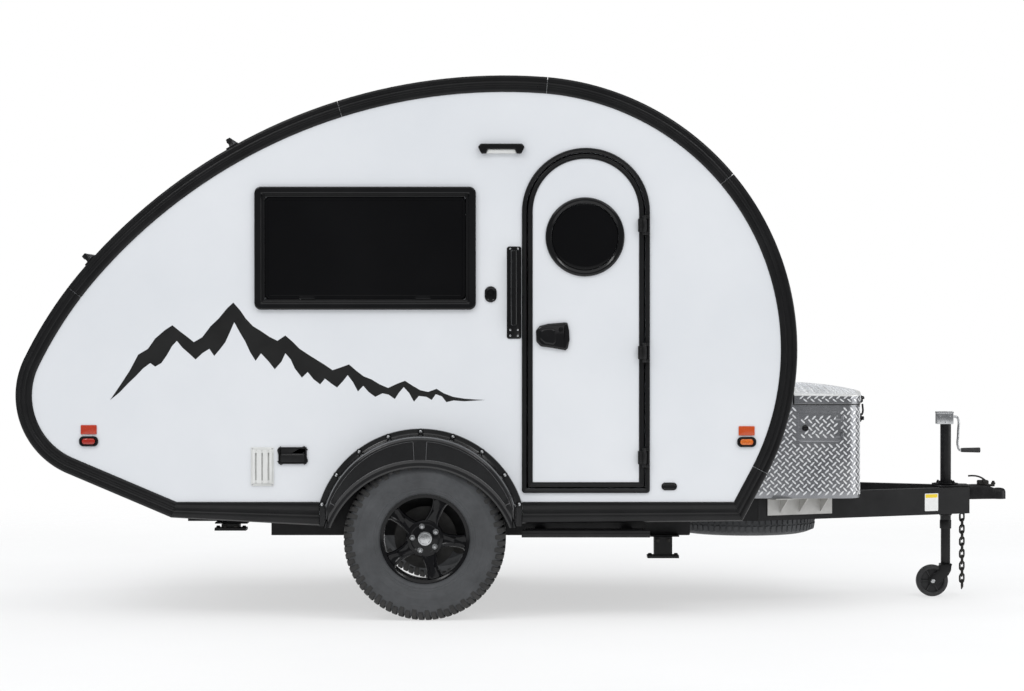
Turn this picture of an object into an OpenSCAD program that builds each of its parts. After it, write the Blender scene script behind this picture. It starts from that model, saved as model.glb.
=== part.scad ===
// Teardrop travel trailer: +X towards the tow coupler, +Y to the left side, +Z up, millimetres.
// Origin: on the floor, midway between the tail and the coupler's nose, on the centre plane.

/* [Body outline] */
// Height of the tail's rearmost point above the floor
tail_z = 1005; // [900:5:1100]
// Radius of the tail curve
tail_r = 380; // [320:5:460]
// Radius of the lower back
back_r = 1900; // [1500:10:2200]
// Radius of the long back and roof
roof_r = 2500; // [2100:10:3000]
// Radius of the nose
nose_r = 1230; // [1030:5:1480]
// Slope of the underside behind the wheels
kick_a = 23; // [15:1:35]
// Height of the corner where the underside slope meets the sill
kick_z = 456; // [430:1:500]
// Height of the lower edge of the sills
sill_z = 440; // [400:1:460]
// Width across the side walls
body_w = 2000; // [1700:10:2400]
// Thickness of the side walls, skin and door
wall_t = 30; // [20:1:40]
// Thickness of the floor
floor_t = 40; // [25:1:60]
// How far the edge moulding stands proud of the walls and the skin
trim_t = 12; // [8:1:20]
// Width of the edge moulding on the side
trim_w = 75; // [50:1:95]
// Width of the edge moulding on the skin
trim_lap = 45; // [30:1:80]

/* [Chassis] */
// Length from the nose of the body to the tip of the coupler
tongue_l = 1120; // [1060:10:1500]
// Height of the frame rails
rail_h = 127; // [100:1:150]
// Width of the frame rails
rail_w = 50; // [40:1:70]
// Distance between the centres of the main rails
rail_gap = 1120; // [960:10:1160]
// Height of the top of the frame above the floor
frame_z = 537; // [520:1:560]
// Half angle of the drawbar
drawbar_a = 25; // [20:1:30]
// Height of the spacer rails that raise the body over the axle
riser_h = 66; // [40:1:76]

/* [Wheels] */
// Outer diameter of the road tyres
tyre_d = 728; // [600:2:780]
// Width of the road tyres
tyre_w = 235; // [180:5:260]
// Bead diameter of the wheels
rim_d = 415; // [340:1:450]
// How far the road tyres stand out past the walls
tyre_out = 90; // [60:5:120]
// Distance of the axle from the tail
axle_t = 1843; // [1700:1:2000]
// Radius of the outer edge of the fender flares
flare_r = 477; // [440:1:520]
// Clearance between the tyres and the flares' outer skin
flare_gap = 10; // [6:1:20]
// Diameter of the tongue jack's wheel
jack_wheel_d = 154; // [120:2:180]

/* [Door] */
// Distance of the door's centre from the tail
door_t = 2566; // [2500:1:2620]
// Width across the door frame
door_w = 576; // [480:2:680]
// Height of the lower edge of the door frame
door_z0 = 567; // [550:1:620]
// Height of the crown of the door frame
door_z1 = 2119; // [1900:1:2200]
// Width of the door frame's moulding
jamb_w = 21; // [15:1:30]
// Clearance between the door and its frame
door_gap = 6; // [5:0.5:10]
// Diameter of the porthole ring
porthole_d = 356; // [280:2:400]
// Height of the porthole's centre
porthole_z = 1719; // [1500:1:1800]

/* [Windows] */
// Distance of the side windows' centre from the tail
win_t = 1574; // [1450:1:1600]
// Height of the side windows' centre
win_z = 1668; // [1550:1:1700]
// Width of the side windows
win_w = 996; // [700:2:1040]
// Height of the side windows
win_h = 553; // [400:1:600]
// Width of the window frames
win_frame = 42; // [30:1:60]
// Width of the rear window
rear_win_w = 1400; // [1000:10:1500]

/* [Storage tub] */
// How far the tub reaches ahead of the body's nose
tub_reach = 380; // [330:5:430]
// Width of the tub
tub_w = 1200; // [1180:5:1240]
// Height of the lower edge of the tub
tub_z0 = 516; // [505:1:530]
// Height of the seam below the lid
tub_z1 = 955; // [850:1:975]
// Thickness of the tub's sheet
tub_t = 4; // [3:0.5:6]
// Depth of the lid's side
lid_h = 46; // [35:1:55]
// Height of the lid's crown above its side
lid_crown = 40; // [20:1:60]

/* [Hidden] */
$fn = 48;

// ---- outline of the side view: tangent arcs, named by the angle of their outward normal ----
kick_n = 270 - kick_a;   // where the underside slope meets the tail curve
tail_n = 154;            // tail curve to lower back
back_n = 139;            // lower back to roof
roof_n = 86;             // roof to nose
nose_n = -28;            // nose to the straight below it
arc_step = 2.5;
function u(a) = [cos(a), sin(a)];
tail_c = [tail_r, tail_z];
back_c = tail_c + (tail_r - back_r) * u(tail_n);
roof_c = back_c + (back_r - roof_r) * u(back_n);
nose_c = roof_c + (roof_r - nose_r) * u(roof_n);
body_l = nose_c[0] + nose_r;
tail_x = -(body_l + tongue_l) / 2;
tip_x = tail_x + body_l + tongue_l;
nose_x = tail_x + body_l;
roof_z = roof_c[1] + roof_r;
// an arc from the angle a0 down to a1, with points at the ends and at whole steps between them
function arc(c, r, a0, a1) = let (k0 = ceil(a0 / arc_step) - 1, k1 = floor(a1 / arc_step) + 1)
    concat([c + r * u(a0)], k0 >= k1 ? [for (k = [k0:-1:k1]) c + r * u(k * arc_step)] : [], [c + r * u(a1)]);
// the outline moved inwards by d, from the underside slope round to the slope below the nose
function upper(d, a0 = kick_n, a1 = nose_n) = concat(
    a0 > tail_n ? arc(tail_c, tail_r - d, a0, max(tail_n, a1)) : [],
    a0 > back_n && a1 < tail_n ? arc(back_c, back_r - d, min(a0, tail_n), max(back_n, a1)) : [],
    a0 > roof_n && a1 < back_n ? arc(roof_c, roof_r - d, min(a0, back_n), max(roof_n, a1)) : [],
    a1 < roof_n ? arc(nose_c, nose_r - d, min(a0, roof_n), a1) : []);
// the points at height z on the underside slope and on the slope below the nose
function kick_at(d, z) = let (p = tail_c + (tail_r - d) * u(kick_n), t = (p[1] - z) / sin(kick_a))
    p + t * [cos(kick_a), -sin(kick_a)];
function chin_at(d, z) = let (p = nose_c + (nose_r - d) * u(nose_n), t = (p[1] - z) / cos(nose_n))
    p + t * [sin(nose_n), -cos(nose_n)];
function outline(d, kz, cz) = concat([kick_at(d, kz)], upper(d), [chin_at(d, cz)]);
// a point on the outline, moved inwards by d, where the outward normal has angle n
function centre_at(n) = n >= tail_n ? tail_c : n >= back_n ? back_c : n >= roof_n ? roof_c : nose_c;
function radius_at(n) = n >= tail_n ? tail_r : n >= back_n ? back_r : n >= roof_n ? roof_r : nose_r;
function on_outline(n, d) = centre_at(n) + (radius_at(n) - d) * u(n);

// ---- derived sizes ----
half_w = body_w / 2;
skin_d = trim_t;
panel_z = frame_z - 10;          // lower edge of the white side panels
axle_x = tail_x + axle_t;
hub_z = tyre_d / 2;
tyre_y = body_w / 2 + tyre_out - tyre_w / 2;
rail_y = rail_gap / 2;
frame_bottom = frame_z - rail_h;
riser_z = frame_bottom - riser_h;
floor_top = frame_z + floor_t;
flare_c = [axle_x - 20, hub_z + 16];
flare_arch_r = 430;
flare_arch_z = hub_z - 108;
flare_foot_z = frame_bottom + 8;
flare_skin = 5;
flare_w = tyre_out + flare_gap + flare_skin;
well_d = 37;                     // from the flare's outer edge to the wheel box
well_t = 4;
well_in = tyre_y - tyre_w / 2 - 45;
door_x = tail_x + door_t;
door_open_w = door_w - 2 * jamb_w;
door_leaf_w = door_open_w - 2 * door_gap;
door_edge_w = 22;
door_arch_z = door_z1 - door_w / 2;
win_x = tail_x + win_t;
hinge_r = 5;
knuckle_r = 9;
run_gap = 0.05;
door_pin_x = door_x + door_open_w / 2 - 4;
door_pin_y = -half_w - trim_t - knuckle_r;

// ---- shapes used again ----
// extrudes an XZ outline between two y planes
module slab(y0, y1) {
    translate([0, y1, 0]) rotate([90, 0, 0]) linear_extrude(y1 - y0) children();
}
// the same, for the right side (side = -1) or the left side (side = 1): y is measured outwards
module side_slab(side, y0, y1) {
    slab(side > 0 ? y0 : -y1, side > 0 ? y1 : -y0) children();
}
// a box with its centre in x and y, from z0 to z1
module block(x, y, z0, z1, l, w) {
    translate([x - l / 2, y - w / 2, z0]) cube([l, w, z1 - z0]);
}
module body2d(d, kz, cz) {
    translate([tail_x, 0]) polygon(outline(d, kz, cz));
}
// a strip of the skin between two depths and two normal angles
module strip2d(d0, d1, a0, a1) {
    outer = upper(d0, a0, a1);
    inner = upper(d1, a0, a1);
    translate([tail_x, 0]) polygon(concat(outer, [for (i = [len(inner) - 1:-1:0]) inner[i]]));
}
module round_rect(w, h, r) {
    for (sx = [-1, 1], sz = [-1, 1]) translate([sx * (w / 2 - r), sz * (h / 2 - r)]) circle(r, $fn = 24);
    square([w - 2 * r, h], center = true);
    square([w, h - 2 * r], center = true);
}
// the door's outline: straight sides and a round head, inset by d
module arch2d(d) {
    w = door_w / 2 - d;
    translate([door_x, door_arch_z]) circle(w, $fn = 96);
    translate([door_x - w + 0.02, door_z0 + d]) square([2 * w - 0.04, door_arch_z - door_z0 - d]);
}
module rod_x(x0, x1, y, z, r) { translate([x0, y, z]) rotate([0, 90, 0]) cylinder(r = r, h = x1 - x0); }
module rod_y(x, y0, y1, z, r) { translate([x, y1, z]) rotate([90, 0, 0]) cylinder(r = r, h = y1 - y0); }
module rod_z(x, y, z0, z1, r) { translate([x, y, z0]) cylinder(r = r, h = z1 - z0); }

// ---- chassis ----
rail_x0 = tail_x + kick_at(0, kick_z)[0] + 25;
drawbar_x1 = tip_x - 190;        // front end of the drawbar rails
drawbar_y1 = 62;
leg_join_x = drawbar_x1 - (rail_y - drawbar_y1) / tan(drawbar_a);
cross_x = [rail_x0 + 25, axle_x - 430, axle_x + 430, axle_x + 1000];

module frame_rails() {
    color("#1b1b1c") for (s = [-1, 1])
        block((rail_x0 + leg_join_x) / 2, s * rail_y, frame_bottom, frame_z, leg_join_x - rail_x0, rail_w);
}
module cross_members() {
    span = rail_gap - rail_w;
    color("#1b1b1c") {
        for (x = cross_x) block(x, 0, frame_bottom + 12, frame_z, rail_w, span);
        // the spare wheel's carrier
        block(spare_c[0], 0, frame_z - 36, frame_z, 40, span);
        rod_z(spare_c[0], 0, spare_disc_z - 14, frame_z - 30, 12);
        rod_z(spare_c[0], 0, spare_disc_z - 14, spare_disc_z - 0.2, 60);
    }
}
// half of the drawbar in plan, from the main rail to the coupler, grown by g
tongue_half = rail_w / 2 / cos(drawbar_a);
tongue_y1 = drawbar_y1 + tongue_half;  // outer face at the coupler
module tongue2d(s, g) {
    polygon([[leg_join_x - 2 * g, s * (rail_y - tongue_half - g)], [leg_join_x - 2 * g, s * (rail_y + tongue_half + g)],
        [drawbar_x1, s * (tongue_y1 + g)], [drawbar_x1, s * (1 - g)],
        [drawbar_x1 - 60, s * (1 - g)],
        [drawbar_x1 - 60, s * (drawbar_y1 - tongue_half + 60 * tan(drawbar_a) - g)]]);
}
module tongue_rails() {
    color("#1b1b1c") translate([0, 0, frame_bottom]) linear_extrude(rail_h) for (s = [-1, 1]) tongue2d(s, 0);
}
riser_x0 = axle_x - 729;
riser_x1 = axle_x + 1215;
module riser_rails() {
    color("#1b1b1c") for (s = [-1, 1]) side_slab(s, rail_y - 25, rail_y + 25)
        polygon([[riser_x0, riser_z], [riser_x0, frame_bottom], [riser_x1, frame_bottom],
            [riser_x1, riser_z]]);
    // plates that join the spacer rails to the main rails
    color("#1b1b1c") for (s = [-1, 1])
        block(riser_x1 - 100, s * (rail_y + 28), riser_z + 3, frame_bottom + 27, 207, 6);
}
// torsion axle: square tube below the risers, arms that trail back to the hubs
beam_s = 64;
arm_drop = 0;
beam_x = axle_x + 150;
beam_z = riser_z - beam_s / 2 - 8;
arm_y = rail_y + 45;
module axle_beam() {
    color("#232325") {
        block(beam_x, 0, beam_z - beam_s / 2, beam_z + beam_s / 2, beam_s, 2 * (arm_y - 12));
        for (s = [-1, 1]) block(beam_x, s * rail_y, beam_z + beam_s / 2 - 1, riser_z, 150, 44);
    }
}
rim_w = tyre_w * 0.72;
hub_y = tyre_y + rim_w / 2 - 60; // inner face of the wheel's centre
drum_w = 46;
spindle_r = 22;
module axle_arms() {
    color("#232325") for (s = [-1, 1]) {
        rod_y(beam_x, s > 0 ? arm_y - 12 : -arm_y - 14, s > 0 ? arm_y + 14 : -arm_y + 12, beam_z, 44);
        side_slab(s, arm_y - 12, arm_y + 14) polygon([[beam_x, beam_z + 40], [axle_x, hub_z + 34],
            [axle_x - 34, hub_z], [axle_x, hub_z - 34], [beam_x, beam_z - 40]]);
        rod_y(axle_x, s > 0 ? arm_y - 12 : -hub_y - 20, s > 0 ? hub_y + 20 : -arm_y + 12, hub_z, spindle_r);
        rod_y(axle_x, s > 0 ? hub_y - drum_w - 12 : -hub_y + drum_w + 6,
            s > 0 ? hub_y - drum_w - 6 : -hub_y + drum_w + 12, hub_z, 140);
    }
}
module floor_panel() {
    inner = skin_d + wall_t + 0.3;
    color("#8d8f92") difference() {
        slab(-half_w + wall_t, half_w - wall_t) translate([tail_x, 0]) polygon([
            kick_at(inner, frame_z), kick_at(inner, floor_top), chin_at(inner, floor_top), chin_at(inner, frame_z)]);
        for (s = [-1, 1]) side_slab(s, well_in - well_t - 1, half_w) flare2d(well_d - 1, 300);
    }
}

// ---- body shell ----
module wall2d() {
    difference() {
        intersection() {
            body2d(skin_d, kick_z - 20, sill_z);
            translate([tail_x, sill_z + 30]) square([body_l, roof_z]);
        }
        flare2d(well_d, 300);
    }
}
module right_wall() {
    color("#eceef1") side_slab(-1, half_w - wall_t, half_w) difference() {
        wall2d();
        arch2d(jamb_w);
        translate([win_x, win_z]) round_rect(win_w - 2 * win_frame, win_h - 2 * win_frame, 30);
    }
}
module left_wall() {
    color("#eceef1") side_slab(1, half_w - wall_t, half_w) difference() {
        wall2d();
        translate([win_x, win_z]) round_rect(win_w - 2 * win_frame, win_h - 2 * win_frame, 30);
    }
}
// normal angles where the skin panels meet
seam_rear = 107.5;
seam_front = 85;
module skin(a0, a1) {
    slab(-half_w + wall_t, half_w - wall_t) strip2d(skin_d, skin_d + wall_t, a0, a1);
}
skin_gap = 0.1;
panel_end = frame_z + 0.3;       // the front and rear skins end on the frame
module front_panel() {
    color("#eceef1") slab(-half_w + wall_t, half_w - wall_t) translate([tail_x, 0]) polygon(concat(
        upper(skin_d, seam_front - skin_gap, nose_n), [chin_at(skin_d, panel_end), chin_at(skin_d + wall_t, panel_end)],
        [for (p = [upper(skin_d + wall_t, seam_front - skin_gap, nose_n)], i = [len(p) - 1:-1:0]) p[i]]));
}
vent_n = 96;                     // normal angle at the roof vent
vent_s = 360;
module roof_panel() {
    color("#eceef1") difference() {
        skin(seam_rear, seam_front);
        on_skin(vent_n, skin_d) translate([-vent_s / 2, -vent_s / 2, -80]) cube([vent_s, vent_s, 160]);
    }
}
rear_win_n0 = 135.4;               // lower and upper edge of the rear window
rear_win_n1 = 122.6;
module rear_panel() {
    color("#eceef1") difference() {
        slab(-half_w + wall_t, half_w - wall_t) translate([tail_x, 0]) polygon(concat(
            [kick_at(skin_d, panel_end)], upper(skin_d, kick_n, seam_rear + skin_gap),
            [for (p = [upper(skin_d + wall_t, kick_n, seam_rear + skin_gap)], i = [len(p) - 1:-1:0]) p[i]],
            [kick_at(skin_d + wall_t, panel_end)]));
        slab(-rear_win_w / 2 + win_frame, rear_win_w / 2 - win_frame)
            strip2d(skin_d - 5, skin_d + wall_t + 5, rear_win_n0 - 1, rear_win_n1 + 1);
    }
}

// ---- edge mouldings and sills ----
trim_seams = [142.6, seam_rear, seam_front, 40, nose_n + 1];
seam_w = 3;
module seam_cuts() {
    for (n = trim_seams) let (p = on_outline(n, trim_w / 2)) translate([tail_x + p[0], p[1]])
        rotate(n) square([trim_w * 2, seam_w], center = true);
}
sill_x0 = tail_x + kick_at(trim_w, panel_z)[0];
sill_x1 = tail_x + chin_at(trim_w, panel_z)[0];
module trim_face2d() {
    difference() {
        body2d(0, kick_z, sill_z);
        body2d(trim_w, panel_z, panel_z);
        translate([sill_x0, 0]) square([sill_x1 - sill_x0, panel_z]);
        seam_cuts();
    }
}
module trim_edge2d() {
    difference() {
        body2d(0, kick_z, sill_z);
        body2d(trim_t - 0.3, kick_z - 20, sill_z - 20);
        translate([sill_x0, 0]) square([sill_x1 - sill_x0, panel_z]);
        seam_cuts();
    }
}
module edge_trim(s) {
    color("#141415") {
        side_slab(s, half_w, half_w + trim_t) trim_face2d();
        side_slab(s, half_w - trim_lap, half_w) trim_edge2d();
    }
}
module right_edge_trim() { edge_trim(-1); }
module left_edge_trim() { edge_trim(1); }
// the sill below the wall: a flange on the panel and a lip that turns under it
flare_x0 = flare_c[0] - flare_r + 20;
flare_x1 = flare_c[0] + flare_r - 20;
module sill_piece(s, x0, x1, z0, z1) {
    side_slab(s, half_w, half_w + trim_t) polygon([[x0, z0], [x0, panel_z], [x1, panel_z], [x1, z1]]);
    side_slab(s, half_w - 60, half_w) polygon([[x0, z0], [x0, z0 + 10], [x1, z1 + 10], [x1, z1]]);
}
module sill(s) {
    color("#141415") {
        sill_piece(s, sill_x0 + 0.3, flare_x0 - 0.5, kick_z, sill_z - 20);
        sill_piece(s, flare_x1 + 0.5, sill_x1 - 0.3, sill_z - 10, sill_z);
    }
}
module right_sill() { sill(-1); }
module left_sill() { sill(1); }

// ---- fenders and wheel boxes ----
// the flare's outline inset by d, down to the height z0
module flare2d(d, z0) {
    w = flare_r - 21 - d;
    intersection() {
        translate(flare_c) circle(flare_r - d, $fn = 120);
        translate([flare_c[0] - w, z0]) square([2 * w, 2 * flare_r]);
    }
}
module arch_hole2d() {
    translate([flare_c[0], flare_arch_z]) circle(flare_arch_r, $fn = 120);
}
module fender(s) {
    color("#18181a") {
        side_slab(s, half_w + 0.3, half_w + 12) difference() {
            flare2d(0, flare_foot_z);
            flare2d(well_d, 300);
        }
        side_slab(s, half_w + 11, half_w + flare_w) difference() {
            flare2d(22, flare_foot_z);
            flare2d(22 + flare_skin, 300);
        }
        side_slab(s, half_w + 11, half_w + 17) difference() {
            flare2d(22, flare_foot_z);
            flare2d(well_d, 300);
        }
        side_slab(s, half_w + flare_w - flare_skin, half_w + flare_w) difference() {
            flare2d(22, flare_foot_z);
            arch_hole2d();
        }
    }
}
module right_fender() { fender(-1); }
module left_fender() { fender(1); }
// a sheet box that closes the wheel arch behind the wall
module wheel_boxes() {
    color("#202022") for (s = [-1, 1]) {
        side_slab(s, well_in, half_w - wall_t) difference() {
            flare2d(well_d, frame_bottom + 2);
            flare2d(well_d + well_t, 300);
        }
        side_slab(s, well_in - well_t, well_in) flare2d(well_d, frame_bottom + 2);
    }
}

// ---- windows ----
win_proud = 20;
pane_t = 6;
module side_window(s) {
    color("#0d0d0e") side_slab(s, half_w - wall_t - 4, half_w + win_proud) translate([win_x, win_z])
        difference() {
            round_rect(win_w - 2 * win_frame - 1, win_h - 2 * win_frame - 1, 29);
            round_rect(win_w - 2 * win_frame - 12, win_h - 2 * win_frame - 12, 24);
        }
    color("#0d0d0e") side_slab(s, half_w + 0.3, half_w + win_proud) translate([win_x, win_z])
        difference() {
            round_rect(win_w, win_h, 28);
            round_rect(win_w - 2 * win_frame - 12, win_h - 2 * win_frame - 12, 24);
        }
}
module side_pane(s) {
    color([0.05, 0.05, 0.06, 0.5]) side_slab(s, half_w + 6, half_w + 6 + pane_t) translate([win_x, win_z])
        round_rect(win_w - 2 * win_frame - 13, win_h - 2 * win_frame - 13, 23);
}
module right_window() { side_window(-1); }
module left_window() { side_window(1); }
module right_window_pane() { side_pane(-1); }
module left_window_pane() { side_pane(1); }
rear_frame_t = 14;
module rear_window() {
    color("#0d0d0e") difference() {
        slab(-rear_win_w / 2, rear_win_w / 2)
            strip2d(skin_d - rear_frame_t, skin_d - 0.3, rear_win_n0, rear_win_n1);
        slab(-rear_win_w / 2 + win_frame, rear_win_w / 2 - win_frame)
            strip2d(skin_d - rear_frame_t - 5, skin_d + 5, rear_win_n0 - 1, rear_win_n1 + 1);
    }
}
module rear_window_pane() {
    color([0.05, 0.05, 0.06, 0.5])
        slab(-rear_win_w / 2 + win_frame + 0.3, rear_win_w / 2 - win_frame - 0.3)
        strip2d(skin_d - 8, skin_d - 2, rear_win_n0 - 1.01, rear_win_n1 + 1.01);
}

// ---- door ----
module door_frame() {
    color("#141415") {
        side_slab(-1, half_w + 0.3, half_w + trim_t) difference() {
            arch2d(0);
            arch2d(jamb_w);
        }
    }
}
pin_z = [door_z0 + 160, (door_z0 + door_arch_z) / 2, door_arch_z - 60];
knuckle_h = 60;
ear_h = 14;
module door_hinges() {
    color("#101011") for (z = pin_z) {
        rod_z(door_pin_x, door_pin_y, z - knuckle_h / 2 - ear_h, z + knuckle_h / 2 + ear_h, hinge_r);
        for (e = [-1, 1]) translate([0, 0, e > 0 ? z + knuckle_h / 2 + 0.5 : z - knuckle_h / 2 - ear_h]) {
            translate([door_pin_x, door_pin_y, 0]) cylinder(r = knuckle_r, h = ear_h - 0.5);
            translate([door_pin_x + 4, door_pin_y - 2, 0])
                cube([20, -half_w - trim_t - door_pin_y + 2, ear_h - 0.5]);
        }
    }
}
module door() {
    color("#eceef1") difference() {
        union() {
            side_slab(-1, half_w - wall_t, half_w) arch2d(jamb_w + door_gap);
            side_slab(-1, half_w, half_w + trim_t - 3) difference() {
                arch2d(jamb_w + door_gap);
                arch2d(jamb_w + door_gap + door_edge_w);
            }
            for (z = pin_z) {
                rod_z(door_pin_x, door_pin_y, z - knuckle_h / 2, z + knuckle_h / 2, knuckle_r);
                translate([door_pin_x - 27, door_pin_y - 2, z - knuckle_h / 2])
                    cube([24, -half_w - door_pin_y + 2, knuckle_h]);
            }
            side_slab(-1, half_w, half_w + 14) translate([door_x - 4, porthole_z])
                circle(porthole_d / 2, $fn = 96);
        }
        for (z = pin_z)
            rod_z(door_pin_x, door_pin_y, z - knuckle_h, z + knuckle_h, hinge_r + run_gap);
        rod_y(door_x - 4, -half_w - 50, -half_w + 50, porthole_z, porthole_d / 2 - 28);
    }
}
module door_pane() {
    color([0.05, 0.05, 0.06, 0.5])
        rod_y(door_x - 4, -half_w - 4, -half_w + 2, porthole_z, porthole_d / 2 - 28.3);
}
handle_x = door_x - door_leaf_w / 2 + 112;
handle_z = 1267;
module door_handle() {
    color("#1c1c1e") {
        side_slab(-1, half_w + 0.3, half_w + 22) translate([handle_x, handle_z]) difference() {
            polygon([[-76, 30], [-60, 52], [-20, 62], [55, 68], [66, 66], [74, 30], [76, -10],
                [68, -48], [58, -58], [-10, -46], [-55, -40], [-74, -18]]);
            polygon([[18, 52], [52, 56], [60, 20], [58, -34], [18, -36]]);
        }
        side_slab(-1, half_w + 0.3, half_w + 6) translate([handle_x, handle_z])
            polygon([[18, 52], [52, 56], [60, 20], [58, -34], [18, -36]]);
    }
}

// ---- fittings on the walls ----
grab_x = tail_x + 2243;
grab_z0 = 1261;
grab_z1 = 1676;
module grab_handle() {
    color("#141415") {
        side_slab(-1, half_w + 0.3, half_w + 4) translate([grab_x, (grab_z0 + grab_z1) / 2])
            round_rect(65, grab_z1 - grab_z0, 10);
        for (z = [grab_z0 + 82, grab_z1 - 36])
            block(grab_x, -half_w - 24, z - 18, z + 18, 26, 40);
        rod_z(grab_x, -half_w - 44, grab_z0 + 60, grab_z1 - 18, 14);
    }
}
module porch_light() {
    color("#2b2b2d") side_slab(-1, half_w + 0.3, half_w + 26) translate([tail_x + 2186, 2115]) difference() {
        polygon([[-105, 10], [-95, 22], [95, 22], [105, 10], [88, -23], [-88, -23]]);
        translate([0, -9]) square([140, 12], center = true);
    }
}
module oval2d(w, h) { resize([w, h]) circle(w / 2, $fn = 40); }
module side_fittings() {
    color("#1a1a1b") {
        side_slab(-1, half_w + 0.3, half_w + 9) translate([tail_x + 2138, 1461]) round_rect(54, 72, 26);
        side_slab(-1, half_w + 0.3, half_w + 14) translate([tail_x + 1247, 736]) round_rect(128, 76, 4);
        side_slab(-1, half_w + 0.3, half_w + 7) translate([tail_x + 2941, 597]) round_rect(70, 35, 17);
        side_slab(1, half_w + 0.3, half_w + 14) translate([tail_x + 2500, 1180]) round_rect(420, 210, 12);
        side_slab(1, half_w + 0.3, half_w + 14) translate([tail_x + 2500, 760]) round_rect(420, 210, 12);
        side_slab(1, half_w + 0.3, half_w + 14) translate([tail_x + 1180, 740]) round_rect(120, 120, 8);
    }
}
module vent_cover() {
    color("#f2f2f0") side_slab(-1, half_w + 0.3, half_w + 16) translate([tail_x + 1111, 686]) difference() {
        round_rect(103, 175, 3);
        for (dx = [-14, 14]) translate([dx, 0]) square([4, 150], center = true);
    }
}
lamp_spots = [[330, 852, 800], [3289, 847, 797]];
module marker_lamps() {
    color("#1a1a1b") for (s = [-1, 1], p = lamp_spots)
        side_slab(s, half_w + 0.3, half_w + 10) translate([tail_x + p[0], p[2]]) round_rect(86, 46, 20);
}
module lens_pair(p) {
    for (s = [-1, 1]) {
        side_slab(s, half_w + 0.3, half_w + 5) translate([tail_x + p[0], p[1]]) round_rect(72, 42, 3);
        side_slab(s, half_w + 10, half_w + 18) translate([tail_x + p[0], p[2]]) round_rect(46, 26, 12);
    }
}
module red_lenses() { color("#8a1512") lens_pair(lamp_spots[0]); }
module amber_lenses() { color("#e07a10") lens_pair(lamp_spots[1]); }
tail_lamp_n = 211;
// places its children on the outline at the normal angle n, inset by d, with +Z outwards
module on_skin(n, d) {
    p = on_outline(n, d);
    translate([tail_x + p[0], 0, p[1]]) rotate([0, 90 - n, 0]) children();
}
module tail_lamps() {
    color("#8a1512") for (s = [-1, 1]) on_skin(tail_lamp_n, skin_d - 0.2)
        translate([0, s * 790, 0]) linear_extrude(27) round_rect(80, 190, 20);
}
plate_n = 180;
plate_hole_z = 58;
module number_plate() {
    color("#e8e8e6") on_skin(plate_n, skin_d - 0.2) difference() {
        linear_extrude(3) round_rect(152, 304, 10);
        for (s = [-1, 1]) translate([plate_hole_z, s * 89, -5]) cylinder(r = 3.5, h = 20);
    }
}

// ---- rear crossbars and roof vent ----
bar_n = [138.2, 119.3];
bar_r = 14;
bar_out = 30;                    // from the moulding to the bar's centre
bar_half = half_w - 30;
module rear_crossbars() {
    color("#1a1a1b") for (n = bar_n) on_skin(n, -bar_out) {
        translate([0, bar_half, 0]) rotate([90, 0, 0]) cylinder(r = bar_r, h = 2 * bar_half);
        for (s = [-1, 1]) translate([0, s * (half_w - 25), 0]) {
            translate([-30, -18, -bar_out + 0.3]) cube([60, 36, 6]);
            translate([-9, -14, -bar_out + 3]) cube([18, 28, bar_out]);
        }
    }
}
vent_pin = [-vent_s / 2 - 18, 38];  // along the roof and above it
vent_pin_y = 110;
module roof_vent() {
    color("#e9e9e6") on_skin(vent_n, skin_d) {
        difference() {
            union() {
                translate([-vent_s / 2 - 28, -vent_s / 2 - 20, 0.8]) cube([vent_s + 48, vent_s + 40, 12]);
                translate([-vent_s / 2 + 0.3, -vent_s / 2 + 0.3, -wall_t]) cube([vent_s - 0.6, vent_s - 0.6, wall_t + 40]);
            }
            translate([-vent_s / 2 + 12, -vent_s / 2 + 12, -wall_t - 5])
                cube([vent_s - 24, vent_s - 24, wall_t + 60]);
        }
        for (s = [-1, 1]) {
            translate([vent_pin[0], s * vent_pin_y + 26, vent_pin[1]]) rotate([90, 0, 0])
                cylinder(r = 3, h = 52);
            for (e = [-1, 1]) translate([vent_pin[0] - 6, s * vent_pin_y + e * 23 - 3, 12])
                cube([12, 6, vent_pin[1] - 8]);
        }
    }
}
module roof_vent_lid() {
    color([0.25, 0.26, 0.28]) on_skin(vent_n, skin_d) difference() {
        union() {
            difference() {
                translate([-vent_s / 2 - 10, -vent_s / 2 - 10, 26]) cube([vent_s + 20, vent_s + 20, 36]);
                translate([-vent_s / 2 - 6, -vent_s / 2 - 6, 25]) cube([vent_s + 12, vent_s + 12, 32]);
            }
            for (s = [-1, 1]) translate([0, s * vent_pin_y + 19.5, 0]) {
                translate([vent_pin[0], 0, vent_pin[1]]) rotate([90, 0, 0]) cylinder(r = 6, h = 39);
                translate([vent_pin[0], -39, vent_pin[1]]) cube([12, 39, 6]);
            }
        }
        translate([vent_pin[0], vent_s, vent_pin[1]]) rotate([90, 0, 0]) cylinder(r = 3 + run_gap, h = 2 * vent_s);
    }
}

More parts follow.
